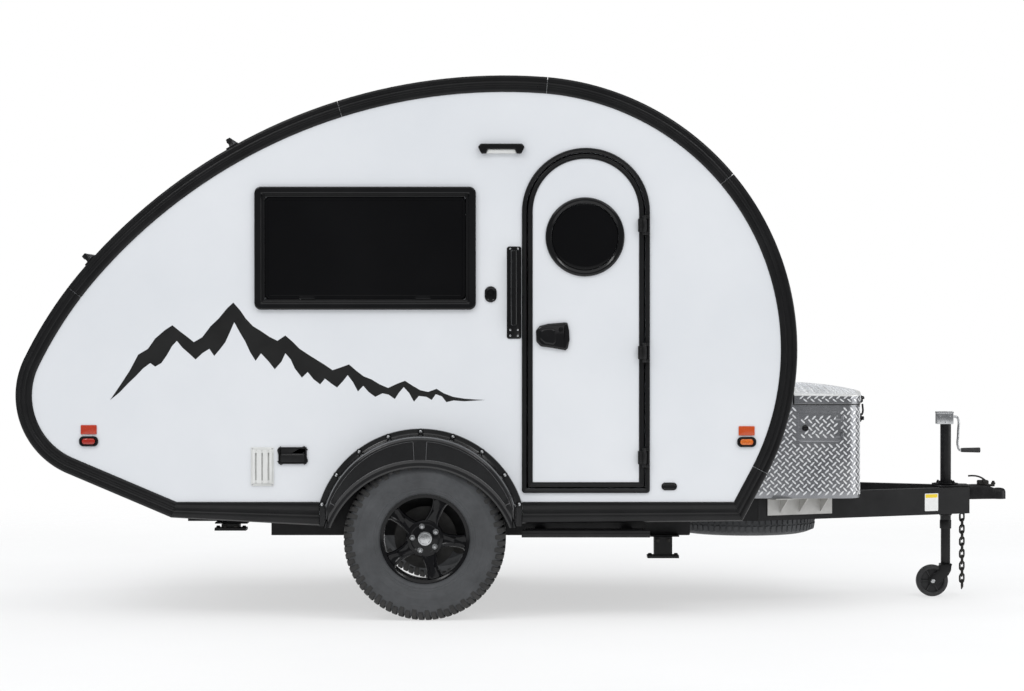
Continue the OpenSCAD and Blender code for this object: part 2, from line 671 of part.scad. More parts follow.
// ---- below the body ----
step_w = 578;
step_out = half_w - 20;
module entry_step() {
    z = frame_bottom - 27;
    color("#1b1b1c") difference() {
        union() {
            rod_x(door_x - step_w / 2, door_x + step_w / 2, -step_out, z, 18);
            block(door_x, -step_out + 90, z - 14, z + 10, step_w - 40, 170);
            for (s = [-1, 1]) block(door_x + s * 200, -(step_out + rail_y + 25) / 2, z - 16, z - 4, 50,
                step_out - rail_y - 25);
        }
        for (i = [-4:4]) translate([door_x + i * 58, -step_out + 90, z - 20]) cylinder(r = 17, h = 50);
    }
}
stab_spots = [[936, 375], [2931, 248]];
stab_y = rail_y + 110;
module stabilisers() {
    color("#1b1b1c") for (s = [-1, 1], p = stab_spots) {
        x = tail_x + p[0];
        top = p[1] > 300 ? frame_bottom : riser_z + 6;
        gap = p[1] > 300 ? 0.3 : 6.3;    // the front ones sit against the joining plates
        block(x, s * (rail_y + rail_w / 2 + gap + 45), top - 6, top, 150, 90);
        block(x, s * stab_y, p[1] + 12, top - 6, 84, 60);
        block(x, s * stab_y, p[1], p[1] + 12, 145, 90);
    }
}
module water_tank() {
    color("#2a2a2c") block(cross_x[3] - 290, 0, frame_bottom - 60, frame_z - 0.3, 430, 800);
}
spare_c = [nose_x - 160, 0, 315];
spare_r = 350;
spare_w = 180;
spare_disc_z = 393;
module tyre_ring(r_out, r_in, w) {
    rotate_extrude($fn = 96) polygon([[r_in, -w * 0.36], [r_in + 12, -w * 0.42], [(r_in + r_out) / 2, -w / 2],
        [r_out - 30, -w * 0.44], [r_out - 6, -w * 0.38], [r_out, -w * 0.3], [r_out, w * 0.3],
        [r_out - 6, w * 0.38], [r_out - 30, w * 0.44], [(r_in + r_out) / 2, w / 2], [r_in + 12, w * 0.42],
        [r_in, w * 0.36]]);
}
module spare_wheel() {
    color("#1c1c1d") translate(spare_c) {
        translate([0, 0, spare_w / 2]) tyre_ring(spare_r, 190, spare_w);
        difference() {
            translate([0, 0, 24]) cylinder(r = 190.1, h = spare_w - 48);
            translate([0, 0, spare_disc_z - spare_c[2] + 6]) cylinder(r = 178, h = spare_w);
            translate([0, 0, spare_disc_z - spare_c[2] - spare_w]) cylinder(r = 178, h = spare_w);
            cylinder(r = 33, h = spare_w);
        }
    }
}

// ---- drawbar end ----
coupler_z0 = frame_z - 62;
ball_r = 25.6;
ball_x = tip_x - 36;
module coupler() {
    color("#1b1b1c") difference() {
        union() {
            translate([0, 0, coupler_z0]) linear_extrude(68) polygon([[drawbar_x1 + 0.3, -60], [drawbar_x1 + 0.3, 60],
                [tip_x - 95, 38], [tip_x - 72, 36], [tip_x - 72, -36], [tip_x - 95, -38]]);
            rod_z(ball_x, 0, coupler_z0, frame_z - 8, 36);
            translate([0, 0, coupler_z0]) linear_extrude(54)
                translate([tip_x - 72, -36]) square([36, 72]);
            translate([0, 0, frame_z + 0.3]) linear_extrude(8) polygon([[drawbar_x1 - 150, -128],
                [drawbar_x1 - 150, 128], [drawbar_x1 + 10, 60], [drawbar_x1 + 10, -60]]);
            block(tip_x - 110, 0, frame_z - 4, frame_z + 44, 60, 40);
            block(tip_x - 128, 0, frame_z + 38, frame_z + 50, 70, 30);
        }
        rod_z(ball_x, 0, coupler_z0 - 1, coupler_z0 + 28, ball_r);
        translate([ball_x, 0, coupler_z0 + 28]) sphere(r = ball_r, $fn = 48);
        rod_z(jack_x, 0, frame_z - 20, frame_z + 30, jack_r + 0.4);
    }
}
jack_x = tip_x - 292;
jack_r = 26;
jack_top = 839;
jack_head = 61;
jack_wheel_x = jack_x - 66;
jack_foot = 160;
module tongue_jack() {
    color("#1b1b1c") difference() {
        union() {
            rod_z(jack_x, 0, 361, jack_top, jack_r);
            rod_z(jack_x, 0, jack_foot, 361.5, jack_r - 3);
            rod_z(jack_x, 0, 330, 372, jack_r + 2);
            block(jack_x - 6, 0, jack_top, jack_top + jack_head, 82, 58);
        }
        rod_z(jack_x, 0, jack_foot - 1, jack_foot + 36, 8 + run_gap);
    }
}
crank_z = jack_top + 34;
crank_drop = 161;
module jack_crank() {
    x0 = jack_x + 35;
    color("#b9bbbd") {
        rod_x(x0, x0 + 26, 0, crank_z, 6);
        rod_z(x0 + 26, 0, crank_z - crank_drop, crank_z + 6, 6);
        rod_x(x0 + 20, x0 + 48, 0, crank_z - crank_drop, 6);
    }
    color("#1b1b1c") rod_x(x0 + 40, x0 + 133, 0, crank_z - crank_drop, 12.5);
}
fork_gap = 26;
module jack_fork() {
    color("#1b1b1c") {
        rod_z(jack_x, 0, 146, 159.5, jack_r + 2);
        rod_z(jack_x, 0, 158, jack_foot + 34, 8);
        for (s = [-1, 1]) side_slab(s, fork_gap, fork_gap + 5) polygon([[jack_x - 26, 159], [jack_x + 26, 159],
            [jack_x + 20, 110], [jack_wheel_x + 16, jack_wheel_d / 2 - 14],
            [jack_wheel_x - 14, jack_wheel_d / 2 - 14], [jack_wheel_x - 16, jack_wheel_d / 2 + 14]]);
        block(jack_x, 0, 152, 159.5, 56, 2 * fork_gap + 10);
        rod_y(jack_wheel_x, -fork_gap - 8, fork_gap + 8, jack_wheel_d / 2, 7);
    }
}
module jack_wheel() {
    color("#1c1c1d") difference() {
        rod_y(jack_wheel_x, -20, 20, jack_wheel_d / 2, jack_wheel_d / 2);
        rod_y(jack_wheel_x, -21, 21, jack_wheel_d / 2, 7 + run_gap);
        for (s = [-1, 1]) translate([jack_wheel_x, s * 20, jack_wheel_d / 2]) rotate([90, 0, 0])
            difference() {
                cylinder(r = jack_wheel_d / 2 - 14, h = 16, center = true);
                cylinder(r = 18, h = 20, center = true);
            }
    }
}
link_l = 46;
link_w = 28;
link_t = 8;
link_pitch = link_l - 2 * link_t - 0.2;
chain_n = 12;
chain_top = frame_bottom - link_l / 2 - 0.3;
module chain_link() {
    rotate([90, 0, 0]) linear_extrude(link_t, center = true) difference() {
        round_rect(link_w, link_l, link_w / 2 - 0.1);
        round_rect(link_w - 2 * link_t, link_l - 2 * link_t, link_w / 2 - link_t - 0.1);
    }
}
module safety_chains() {
    color("#202022") for (s = [-1, 1]) translate([drawbar_x1 - 22 + s * 6, s * 30, chain_top])
        for (i = [0:chain_n - 1]) translate([0, 0, -i * link_pitch]) rotate([0, 0, i % 2 * 90]) chain_link();
}

// ---- storage tub ----
tub_x1 = nose_x + tub_reach;
tub_clear = 14;
tub_corner = 100;
tub_side_x = tub_x1 - 136;       // where the straight side ends
tub_bow = (pow(tub_w / 2 - tub_corner, 2) + pow(136, 2) - pow(tub_corner, 2)) / (2 * (136 - tub_corner));
tub_bow_a = atan((tub_w / 2 - tub_corner) / (tub_bow - 136));
// plan of the tub, inset by d: straight sides, round corners and a bowed front
function tub_half(d) = concat(
    [for (i = [0:6]) [tub_side_x, -tub_w / 2 + tub_corner] + (tub_corner - d) * u(-90 + i * (90 - tub_bow_a) / 6)],
    [for (i = [1:6]) [tub_x1 - tub_bow, 0] + (tub_bow - d) * u(-tub_bow_a + i * tub_bow_a / 6)]);
function tub_plan(d) = let (h = tub_half(d), m = len(h)) concat([[0, -tub_w / 2 + d]], h,
    [for (i = [m - 2:-1:0]) [h[i][0], -h[i][1]]], [[0, tub_w / 2 - d]]);
tub_floor_z = frame_z + 0.5;
// the space ahead of the body, inset by d, between two heights
module tub_space(d, z0, z1) {
    intersection() {
        translate([0, 0, z0]) linear_extrude(z1 - z0) polygon(tub_plan(d));
        slab(-tub_w, tub_w) difference() {
            translate([nose_x - 300, 0]) square([tub_reach + 300, 2000]);
            translate([tail_x, 0]) polygon(outline(-tub_clear - d, kick_z, 300));
        }
    }
}
tub_door_x = nose_x + 144;
tub_door_z = 849;
tub_door_w = 200;
tub_door_h = 140;
module tub_door_plate(g, y0, y1) {
    side_slab(-1, y0, y1) translate([tub_door_x, tub_door_z])
        round_rect(tub_door_w + g, tub_door_h + g, 14);
}
lid_pin_r = 4;
lid_pin = [nose_x + 20, tub_z1 + lid_h + 30];
lid_x0 = lid_pin[0] + 8;
lid_pin_y = [-400, 0, 400];
side_pin_r = 3;
side_pin = [tub_door_x + tub_door_w / 2 + 6, -tub_w / 2 - 7];
module storage_tub() {
    color("#b9bcc0") {
        difference() {
            union() {
                tub_space(0, tub_z0, tub_z1);
                // the upstand behind the lid, and its cheeks
                intersection() {
                    tub_space(0, tub_z1 - 1, lid_pin[1] - 12);
                    translate([nose_x - 300, -tub_w, 0]) cube([300 + lid_x0 - nose_x - 6, 2 * tub_w, 2000]);
                }
            }
            tub_space(tub_t, tub_floor_z + tub_t, 2000);
            linear_extrude(tub_floor_z) polygon(tub_plan(tub_t));
            tub_door_plate(-20, tub_w / 2 - 20, tub_w / 2 + 20);
            translate([0, 0, -0.5]) linear_extrude(tub_floor_z + 0.5) for (s = [-1, 1]) tongue2d(s, 1.5);
        }
        for (y = lid_pin_y) {
            rod_y(lid_pin[0], y - 40, y + 40, lid_pin[1], lid_pin_r);
            for (e = [-1, 1]) translate([nose_x + 2, y + e * 36 - 4, lid_pin[1] - 24])
                cube([24, 8, 29]);
        }
        for (e = [-1, 1]) translate([0, 0, tub_door_z + e * 40]) {
            translate([side_pin[0], side_pin[1], -12]) cylinder(r = side_pin_r, h = 24);
            for (f = [-1, 1]) translate([side_pin[0] - 1, side_pin[1] - 4, f * 12 - 2]) cube([8, 12, 4]);
        }
    }
}
module tub_lid() {
    zt = tub_z1 + lid_h + lid_crown;
    ry = (pow(tub_w / 2, 2) + lid_crown * lid_crown) / (2 * lid_crown);
    rx = (pow(tub_reach, 2) + lid_crown * lid_crown) / (2 * lid_crown);
    color("#c3c6ca") difference() {
        union() {
            difference() {
                lid_block(-4, tub_z1 + 0.5, zt, 0);
                lid_block(0, tub_z1 - 1, zt - 4, 4);
            }
            for (y = lid_pin_y) {
                rod_y(lid_pin[0], y - 31, y + 31, lid_pin[1], lid_pin_r + 4);
                translate([lid_pin[0], y - 31, lid_pin[1] - 8]) cube([12, 62, 8]);
            }
        }
        rod_y(lid_pin[0], -tub_w, tub_w, lid_pin[1], lid_pin_r + run_gap);
    }
}
// the lid's solid shape: its plan, cut by a crown across and a crown along the tub
module lid_block(d, z0, zt, back) {
    ry = (pow(tub_w / 2, 2) + pow(lid_crown, 2)) / (2 * lid_crown);
    rx = (pow(tub_reach, 2) + pow(lid_crown, 2)) / (2 * lid_crown);
    intersection() {
        translate([0, 0, z0]) linear_extrude(200) intersection() {
            polygon(tub_plan(d));
            translate([lid_x0 + back, -tub_w]) square([tub_reach, 2 * tub_w]);
        }
        rod_x(nose_x, tub_x1 + 50, 0, zt - ry, ry, $fn = 360);
        rod_y(lid_x0, -tub_w, tub_w, zt - rx, rx, $fn = 360);
    }
}
module tub_door() {
    color("#c3c6ca") difference() {
        union() {
            tub_door_plate(0, tub_w / 2 + 0.5, tub_w / 2 + 4);
            for (e = [-1, 1]) translate([0, 0, tub_door_z + e * 40]) {
                translate([side_pin[0], side_pin[1], -9.5]) cylinder(r = side_pin_r + 3, h = 19);
                translate([side_pin[0] - 12, side_pin[1] + 3, -9.5]) cube([12, 3, 19]);
            }
        }
        rod_z(side_pin[0], side_pin[1], 0, 2000, side_pin_r + run_gap);
    }
}
// outriggers on the drawbar that carry the tub's sides
module tub_brackets() {
    l = 350;
    back = (drawbar_x1 - nose_x - 223) / cos(drawbar_a);
    color("#c9c6bd") for (s = [-1, 1]) translate([drawbar_x1, s * tongue_y1, 0])
        rotate([0, 0, s > 0 ? 180 - drawbar_a : 180 + drawbar_a]) {
            // along the rail's outer face, in the rail's own frame
            for (f = [s > 0 ? -4.3 : 0.3]) translate([back, f, tub_z0 - 82]) cube([l, 4, 81.5]);
            for (x = [back + 60, back + 175, back + l - 70]) translate([x, s > 0 ? -0.3 : 0.3, tub_z0 - 0.5])
                rotate([0, 90, 0]) linear_extrude(4)
                polygon([[0, 0], [0, s > 0 ? -80 : 80], [75, 0]]);
            translate([back, s > 0 ? -80 : 0.3, tub_z0 - 4.5]) cube([l, 79.7, 4]);
        }
}

// ---- road wheels ----
module road_tyre(s) {
    color("#1c1c1d") translate([axle_x, s * tyre_y, hub_z]) rotate([90, 0, 0])
        tyre_ring(tyre_d / 2, rim_d / 2 - 6, tyre_w);
}
spokes = 5;
rim_t = 12;
module road_wheel(s) {
    r_in = rim_d / 2 - 6 - rim_t;
    color("#121213") translate([axle_x, s * tyre_y, hub_z]) rotate([s > 0 ? -90 : 90, 0, 0]) {
        difference() {
            cylinder(r = r_in + rim_t - 0.3, h = rim_w, center = true, $fn = 96);
            cylinder(r = r_in, h = rim_w + 2, center = true, $fn = 96);
        }
        translate([0, 0, hub_y - tyre_y]) difference() {
            union() {
                cylinder(r = 80, h = 36);
                for (i = [0:spokes - 1]) rotate(i * 360 / spokes + 18) translate([40, -26, 4])
                    cube([r_in - 38, 52, 30]);
                translate([0, 0, -drum_w]) difference() {
                    cylinder(r = 138, h = drum_w);
                    translate([0, 0, -1]) cylinder(r = 130, h = drum_w - 6);
                }
                translate([0, 0, 30]) cylinder(r = 32, h = 22);
            }
            translate([0, 0, -drum_w - 1]) cylinder(r = spindle_r + run_gap, h = drum_w + 23);
        }
    }
}
module right_tyre() { road_tyre(-1); }
module left_tyre() { road_tyre(1); }
module right_wheel() { road_wheel(-1); }
module left_wheel() { road_wheel(1); }

frame_rails();
cross_members();
tongue_rails();
riser_rails();
axle_beam();
axle_arms();
floor_panel();
right_wall();
left_wall();
front_panel();
roof_panel();
rear_panel();
right_edge_trim();
left_edge_trim();
right_sill();
left_sill();
right_fender();
left_fender();
wheel_boxes();
right_window();
right_window_pane();
left_window();
left_window_pane();
rear_window();
rear_window_pane();
door_frame();
door_hinges();
door();
door_pane();
door_handle();
grab_handle();
porch_light();
side_fittings();
vent_cover();
marker_lamps();
red_lenses();
amber_lenses();
tail_lamps();
number_plate();
rear_crossbars();
roof_vent();
roof_vent_lid();
entry_step();
stabilisers();
water_tank();
coupler();
tongue_jack();
jack_crank();
jack_fork();
jack_wheel();
safety_chains();
storage_tub();
tub_lid();
tub_door();
tub_brackets();
spare_wheel();
right_wheel();
right_tyre();
left_wheel();
left_tyre();
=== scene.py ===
import math

import bpy
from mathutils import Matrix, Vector


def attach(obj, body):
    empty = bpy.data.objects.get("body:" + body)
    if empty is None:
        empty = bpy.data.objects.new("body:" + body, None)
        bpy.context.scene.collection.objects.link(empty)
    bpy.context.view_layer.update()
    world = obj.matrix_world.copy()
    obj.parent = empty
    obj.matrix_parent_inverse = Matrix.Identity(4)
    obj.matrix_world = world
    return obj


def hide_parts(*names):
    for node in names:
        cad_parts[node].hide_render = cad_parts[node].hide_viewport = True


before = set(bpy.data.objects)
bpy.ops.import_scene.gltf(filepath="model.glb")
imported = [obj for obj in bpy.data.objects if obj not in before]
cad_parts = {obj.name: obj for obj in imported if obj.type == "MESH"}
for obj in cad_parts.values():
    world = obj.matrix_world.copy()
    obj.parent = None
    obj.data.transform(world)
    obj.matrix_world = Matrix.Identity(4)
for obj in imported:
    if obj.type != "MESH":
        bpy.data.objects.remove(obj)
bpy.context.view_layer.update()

# The trailer is drawn in millimetres: +X to the coupler, +Y to the left side, +Z up.
MM = 0.001
SIDES = ((-1, "right"), (1, "left"))
HALF_W = 1000.0          # outer face of the side walls
WALL_Y = -1000.3         # where fittings start on the right wall, a hair off its face
WALL_T = 30.0
TRIM_T = 12.0            # the edge moulding stands this far out, and is TRIM_W wide
TRIM_W = 75.0
PANEL_Z = 527.0          # lower edge of the white walls
KICK_A = 23.0            # slope of the kick-up under the tail, from level
KICK_Z = 456.0           # foot of the moulding at the tail
SILL_Z = 440.0           # foot of the moulding at the nose
FRAME_Z = 537.0          # top of the chassis rails
RAIL_H = 127.0
NOSE_END = -28.0         # the outline's last angle at the nose, and its first at the tail
KICK_N = 270.0 - KICK_A
MERGE = 0.00001          # in metres, as the operators take it


# ---------------------------------------------------------------- outline of the body
def unit(angle):
    """Cosine and sine of an angle in degrees."""
    return math.cos(math.radians(angle)), math.sin(math.radians(angle))


def next_centre(centre, radius, new_radius, angle):
    """Centre of the arc that carries on smoothly from another at an angle."""
    c, s = unit(angle)
    return centre[0] + (radius - new_radius) * c, centre[1] + (radius - new_radius) * s


TAIL_R, BACK_R, ROOF_R, NOSE_R = 380.0, 1900.0, 2500.0, 1230.0
tail_c = (TAIL_R, 1005.0)
back_c = next_centre(tail_c, TAIL_R, BACK_R, 154)
roof_c = next_centre(back_c, BACK_R, ROOF_R, 139)
nose_c = next_centre(roof_c, ROOF_R, NOSE_R, 86)
BODY_L = nose_c[0] + NOSE_R
TAIL_X = -(BODY_L + 1120.0) / 2
NOSE_X = TAIL_X + BODY_L
TIP_X = -TAIL_X
# centre x, centre z, radius, first and last angle of the outward normal
ARCS = [(TAIL_X + c[0], c[1], r, a0, a1) for c, r, a0, a1 in (
    (tail_c, TAIL_R, KICK_N, 154.0), (back_c, BACK_R, 154.0, 139.0),
    (roof_c, ROOF_R, 139.0, 86.0), (nose_c, NOSE_R, 86.0, NOSE_END))]


def on_skin(angle, inset=0.0, along=0.0):
    """Point (x, z) on the outline, moved inwards, then along the skin towards the nose."""
    for cx, cz, r, _, a1 in ARCS:
        if angle >= a1 or a1 == NOSE_END:
            c, s = unit(angle)
            return cx + (r - inset) * c + along * s, cz + (r - inset) * s - along * c


def kick_point(inset, z):
    """Point (x, z) at a height on the straight kick-up under the tail, moved inwards."""
    x, z0 = on_skin(KICK_N, inset)
    return x + (z0 - z) / math.tan(math.radians(KICK_A)), z


def chin_point(inset, z):
    """Point (x, z) at a height on the straight run under the nose, moved inwards."""
    x, z0 = on_skin(NOSE_END, inset)
    return x + (z0 - z) * math.tan(math.radians(NOSE_END)), z


def skin_x(z, out):
    """x of the front of the body at a height, moved out by a distance."""
    cx, cz, r = ARCS[3][:3]
    if z >= cz + (r + out) * math.sin(math.radians(NOSE_END)):
        return cx + math.sqrt((r + out) ** 2 - (z - cz) ** 2)
    return chin_point(-out, z)[0]


# ---------------------------------------------------------------- modelling helpers
def deselect():
    bpy.ops.object.select_all(action="DESELECT")


def work_on(piece):
    """Makes the piece the only one selected, and the active one."""
    deselect()
    piece.select_set(True)
    bpy.context.view_layer.objects.active = piece
    return piece


def edit(piece, kind="FACE"):
    """Goes into edit mode with all of the piece selected."""
    work_on(piece)
    bpy.ops.object.mode_set(mode="EDIT")
    bpy.ops.mesh.select_mode(type=kind)
    bpy.ops.mesh.select_all(action="SELECT")


def leave():
    """Goes back to object mode."""
    bpy.ops.object.mode_set(mode="OBJECT")


def choose_none(piece, kind):
    """Clears the selection inside the piece, and goes back to object mode."""
    edit(piece, kind)
    bpy.ops.mesh.select_all(action="DESELECT")
    leave()


def choose(piece, test):
    """Selects faces by test(centre, normal), in millimetres, and stays in edit mode."""
    choose_none(piece, "FACE")
    for face in piece.data.polygons:
        face.select = bool(test(face.center / MM, face.normal))
    bpy.ops.object.mode_set(mode="EDIT")


def choose_corners(piece, test):
    """Selects corners by test(place), in millimetres, and stays in edit mode."""
    choose_none(piece, "VERT")
    for corner in piece.data.vertices:
        corner.select = bool(test(corner.co / MM))
    bpy.ops.object.mode_set(mode="EDIT")


def name_it(name):
    """Names the active object and its mesh."""
    piece = bpy.context.active_object
    piece.name = name
    piece.data.name = name
    return piece


def place(piece, points):
    """Puts the mesh's corners at the points, in millimetres."""
    flat = [c * MM for p in points for c in p]
    piece.data.vertices.foreach_set("co", flat)
    piece.data.update()


def face_of(name, points, filled=True):
    """A flat face, or a ring of edges, whose corners are the points."""
    deselect()
    bpy.ops.mesh.primitive_circle_add(vertices=len(points), fill_type="NGON" if filled else "NOTHING")
    piece = name_it(name)
    place(piece, points)
    return piece


def right_way(piece):
    """Merges what touches, drops loose edges, and turns every face outwards."""
    edit(piece)
    bpy.ops.mesh.remove_doubles(threshold=0.00002)
    bpy.ops.mesh.delete_loose()
    bpy.ops.mesh.select_all(action="SELECT")
    bpy.ops.mesh.normals_make_consistent(inside=False)
    leave()
    return piece


def soften(piece, width, segments=2, angle=30):
    """Rounds the edges with a bevel, and applies it."""
    work_on(piece)
    bevel = piece.modifiers.new("round", "BEVEL")
    bevel.width = width * MM
    bevel.segments = segments
    bevel.limit_method = "ANGLE"
    bevel.angle_limit = math.radians(angle)
    bevel.harden_normals = False
    bpy.ops.object.modifier_apply(modifier=bevel.name)
    return piece


def slab(name, outline, y0, y1, round_by=0.0, segments=2):
    """An XZ outline given thickness along Y."""
    piece = face_of(name, [(x, y0, z) for x, z in outline])
    edit(piece)
    push(y=y1 - y0)
    leave()
    right_way(piece)
    return soften(piece, round_by, segments) if round_by else piece


def inset(width, depth=0.0):
    """Insets the selected faces, and moves them in or out."""
    bpy.ops.mesh.inset(thickness=width * MM, depth=depth * MM)


def push(x=0.0, y=0.0, z=0.0):
    """Extrudes what is selected."""
    bpy.ops.mesh.extrude_region_move(TRANSFORM_OT_translate={"value": (x * MM, y * MM, z * MM)})


def stepped(name, outline, y0, y1, steps, width, segments=2, angle=25):
    """A slab whose outer face, at y1, goes in by steps of (inset, depth); then its edges are rounded by a width."""
    side = math.copysign(1, y1)
    piece = slab(name, outline, y0, y1)
    choose(piece, lambda c, n: n.y * side > 0.95 and abs(c.y - y1) < 0.4)
    for step in steps:
        inset(*step)
    leave()
    return soften(piece, width, segments, angle)


def loft(name, rings, closed=True, capped=True):
    """A skin over rings of points, one ring after another."""
    across, along = len(rings[0]) + (1 if closed else 0), len(rings)
    deselect()
    bpy.ops.mesh.primitive_grid_add(x_subdivisions=across - 1, y_subdivisions=along - 1, size=1)
    piece = name_it(name)
    place(piece, [p for ring in rings for p in (list(ring) + [ring[0]] if closed else ring)])
    edit(piece, "EDGE")
    bpy.ops.mesh.remove_doubles(threshold=MERGE)
    if capped:
        bpy.ops.mesh.fill_holes(sides=0)
    leave()
    return right_way(piece)


def turned(name, profile, centre, axis="Y", steps=64):
    """A closed profile of (radius, height along the axis) points, spun round the axis."""
    cx, cy, cz = centre
    where = {"X": lambda r, h: (cx + h, cy, cz + r), "Y": lambda r, h: (cx + r, cy + h, cz),
             "Z": lambda r, h: (cx + r, cy, cz + h)}[axis]
    piece = face_of(name, [where(r, h) for r, h in profile], filled=False)
    edit(piece, "EDGE")
    bpy.ops.mesh.spin(steps=steps, angle=2 * math.pi, center=[c * MM for c in centre],
                      axis=[float(a == axis) for a in "XYZ"])
    leave()
    return right_way(piece)


def around(piece, count, centre, axis="Y"):
    """Repeats the piece round an axis."""
    edit(piece)
    bpy.ops.mesh.spin(steps=count, angle=2 * math.pi, center=[c * MM for c in centre],
                      axis=[float(a == axis) for a in "XYZ"], dupli=True)
    leave()
    # the last copy lies on the first
    edit(piece, "VERT")
    bpy.ops.mesh.remove_doubles(threshold=MERGE)
    leave()
    return piece


def rod(name, a, b, radius, sides):
    """A round bar between two points."""
    a, b = Vector(a), Vector(b)
    turn = Vector((0, 0, 1)).rotation_difference(b - a).to_euler()
    deselect()
    bpy.ops.mesh.primitive_cone_add(vertices=sides, radius1=radius * MM, radius2=radius * MM,
                                    depth=(b - a).length * MM, location=(a + b) / 2 * MM, rotation=turn)
    piece = name_it(name)
    bpy.ops.object.transform_apply(location=True, rotation=True, scale=True)
    return piece


def block(name, low, high, round_by, segments=2):
    """A box between two corners, with rounded edges."""
    deselect()
    middle = [(a + b) / 2 * MM for a, b in zip(low, high)]
    bpy.ops.mesh.primitive_cube_add(size=1, location=middle, scale=[(b - a) * MM for a, b in zip(low, high)])
    piece = name_it(name)
    bpy.ops.object.transform_apply(location=True, rotation=True, scale=True)
    return soften(piece, round_by, segments)


def pipe(name, points, radius, smooth=False, sides=4):
    """A round bar along a path."""
    deselect()
    bpy.ops.curve.primitive_bezier_curve_add()
    curve = bpy.context.active_object
    spline = curve.data.splines[0]
    spline.bezier_points.add(len(points) - 2)
    for knot, p in zip(spline.bezier_points, points):
        knot.handle_left_type = knot.handle_right_type = "AUTO" if smooth else "VECTOR"
        knot.co = [c * MM for c in p]
    curve.data.dimensions = "3D"
    curve.data.resolution_u = 8 if smooth else 1
    curve.data.bevel_depth = radius * MM
    curve.data.bevel_resolution = sides
    curve.data.use_fill_caps = True
    bpy.ops.object.convert(target="MESH")
    return right_way(name_it(name))


def copied(piece, name):
    """A copy with a mesh of its own."""
    work_on(piece)
    bpy.ops.object.duplicate(linked=False)
    return name_it(name)


def moved(piece, turn, spot):
    """Puts a piece made at the origin where it goes: turned first, then moved to a spot in millimetres."""
    piece.rotation_euler = turn
    piece.location = [c * MM for c in spot]
    work_on(piece)
    bpy.ops.object.transform_apply(location=True, rotation=True, scale=True)
    return piece


def joined(name, pieces):
    """One piece from several, with a new name."""
    deselect()
    for piece in pieces:
        piece.select_set(True)
    bpy.context.view_layer.objects.active = pieces[0]
    if len(pieces) > 1:
        bpy.ops.object.join()
    return name_it(name)


def finished(piece, finish, nodes=(), body="trailer", smooth=35):
    """Gives a piece its finish and its body, and hides the solids that it replaces."""
    work_on(piece)
    bpy.ops.object.transform_apply(location=True, rotation=True, scale=True)
    bpy.ops.object.shade_smooth_by_angle(angle=math.radians(smooth))
    piece.data.materials.clear()
    piece.data.materials.append(finish)
    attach(piece, body)
    if nodes:
        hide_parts(*nodes)
    return piece


def round_rect(w, h, r, cx=0.0, cz=0.0, steps=6):
    """A rectangle with round corners, as flat points."""
    points = []
    for sx, sz, a0 in ((1, 1, 0), (-1, 1, 90), (-1, -1, 180), (1, -1, 270)):
        for i in range(steps + 1):
            c, s = unit(a0 + 90 * i / steps)
            points.append((cx + sx * (w / 2 - r) + r * c, cz + sz * (h / 2 - r) + r * s))
    return points


def swept(name, profile, n0, n1, tail_to=None, chin_to=None, step=1.5):
    """A profile of (inset, y) points carried round the outline from angle n0 down to n1."""
    start = [on_skin(n0, d) for d, y in profile]
    if tail_to is not None:
        drop = (on_skin(n0)[1] - tail_to) / math.sin(math.radians(KICK_A))
        run = (drop * math.cos(math.radians(KICK_A)), -drop * math.sin(math.radians(KICK_A)))
        start = [(x + run[0], z + run[1]) for x, z in start]
    piece = face_of(name, [(x, y, z) for (x, z), (d, y) in zip(start, profile)])
    edit(piece)
    if tail_to is not None:
        push(x=-run[0], z=-run[1])
    for cx, cz, _, a0, a1 in ARCS:
        first, last = min(n0, a0), max(n1, a1)
        if first - last > 0.01:
            bpy.ops.mesh.spin(steps=max(1, math.ceil((first - last) / step)), angle=-math.radians(first - last),
                              center=(cx * MM, 0, cz * MM), axis=(0, 1, 0))
    if chin_to is not None:
        drop = (on_skin(n1)[1] - chin_to) / math.cos(math.radians(NOSE_END))
        push(x=drop * math.sin(math.radians(NOSE_END)), z=-drop * math.cos(math.radians(NOSE_END)))
    leave()
    return right_way(piece)


def cut_away(piece, point, normal):
    """Cuts the piece by a plane, closes it, and drops the side the normal points to."""
    edit(piece)
    bpy.ops.mesh.bisect(plane_co=[c * MM for c in point], plane_no=normal, clear_outer=True, use_fill=True)
    leave()
    return right_way(piece)


# ---------------------------------------------------------------- finishes
def start_finish(name):
    """A new finish: itself, its nodes and links, its shader, and the place on the object."""
    finish = bpy.data.materials.new(name)
    finish.use_nodes = True
    nodes, links = finish.node_tree.nodes, finish.node_tree.links
    shader = nodes["Principled BSDF"]
    place_node = nodes.new("ShaderNodeTexCoord")
    return finish, nodes, links, shader, place_node.outputs["Object"]


def noise_on(nodes, links, place_out, scale, detail=4.0, rough=0.55, stretch=None):
    noise = nodes.new("ShaderNodeTexNoise")
    noise.inputs["Scale"].default_value = scale
    noise.inputs["Detail"].default_value = detail
    noise.inputs["Roughness"].default_value = rough
    if stretch:
        mapping = nodes.new("ShaderNodeMapping")
        mapping.inputs["Scale"].default_value = stretch
        links.new(place_out, mapping.inputs["Vector"])
        links.new(mapping.outputs["Vector"], noise.inputs["Vector"])
    else:
        links.new(place_out, noise.inputs["Vector"])
    return noise.outputs["Fac"]


def ramp_on(nodes, links, source, stops):
    """A colour ramp, with stops of (position, colour)."""
    ramp = nodes.new("ShaderNodeValToRGB")
    while len(ramp.color_ramp.elements) < len(stops):
        ramp.color_ramp.elements.new(0.5)
    for element, (at, colour) in zip(ramp.color_ramp.elements, stops):
        element.position = at
        element.color = (*colour, 1.0)
    links.new(source, ramp.inputs["Fac"])
    return ramp.outputs["Color"]


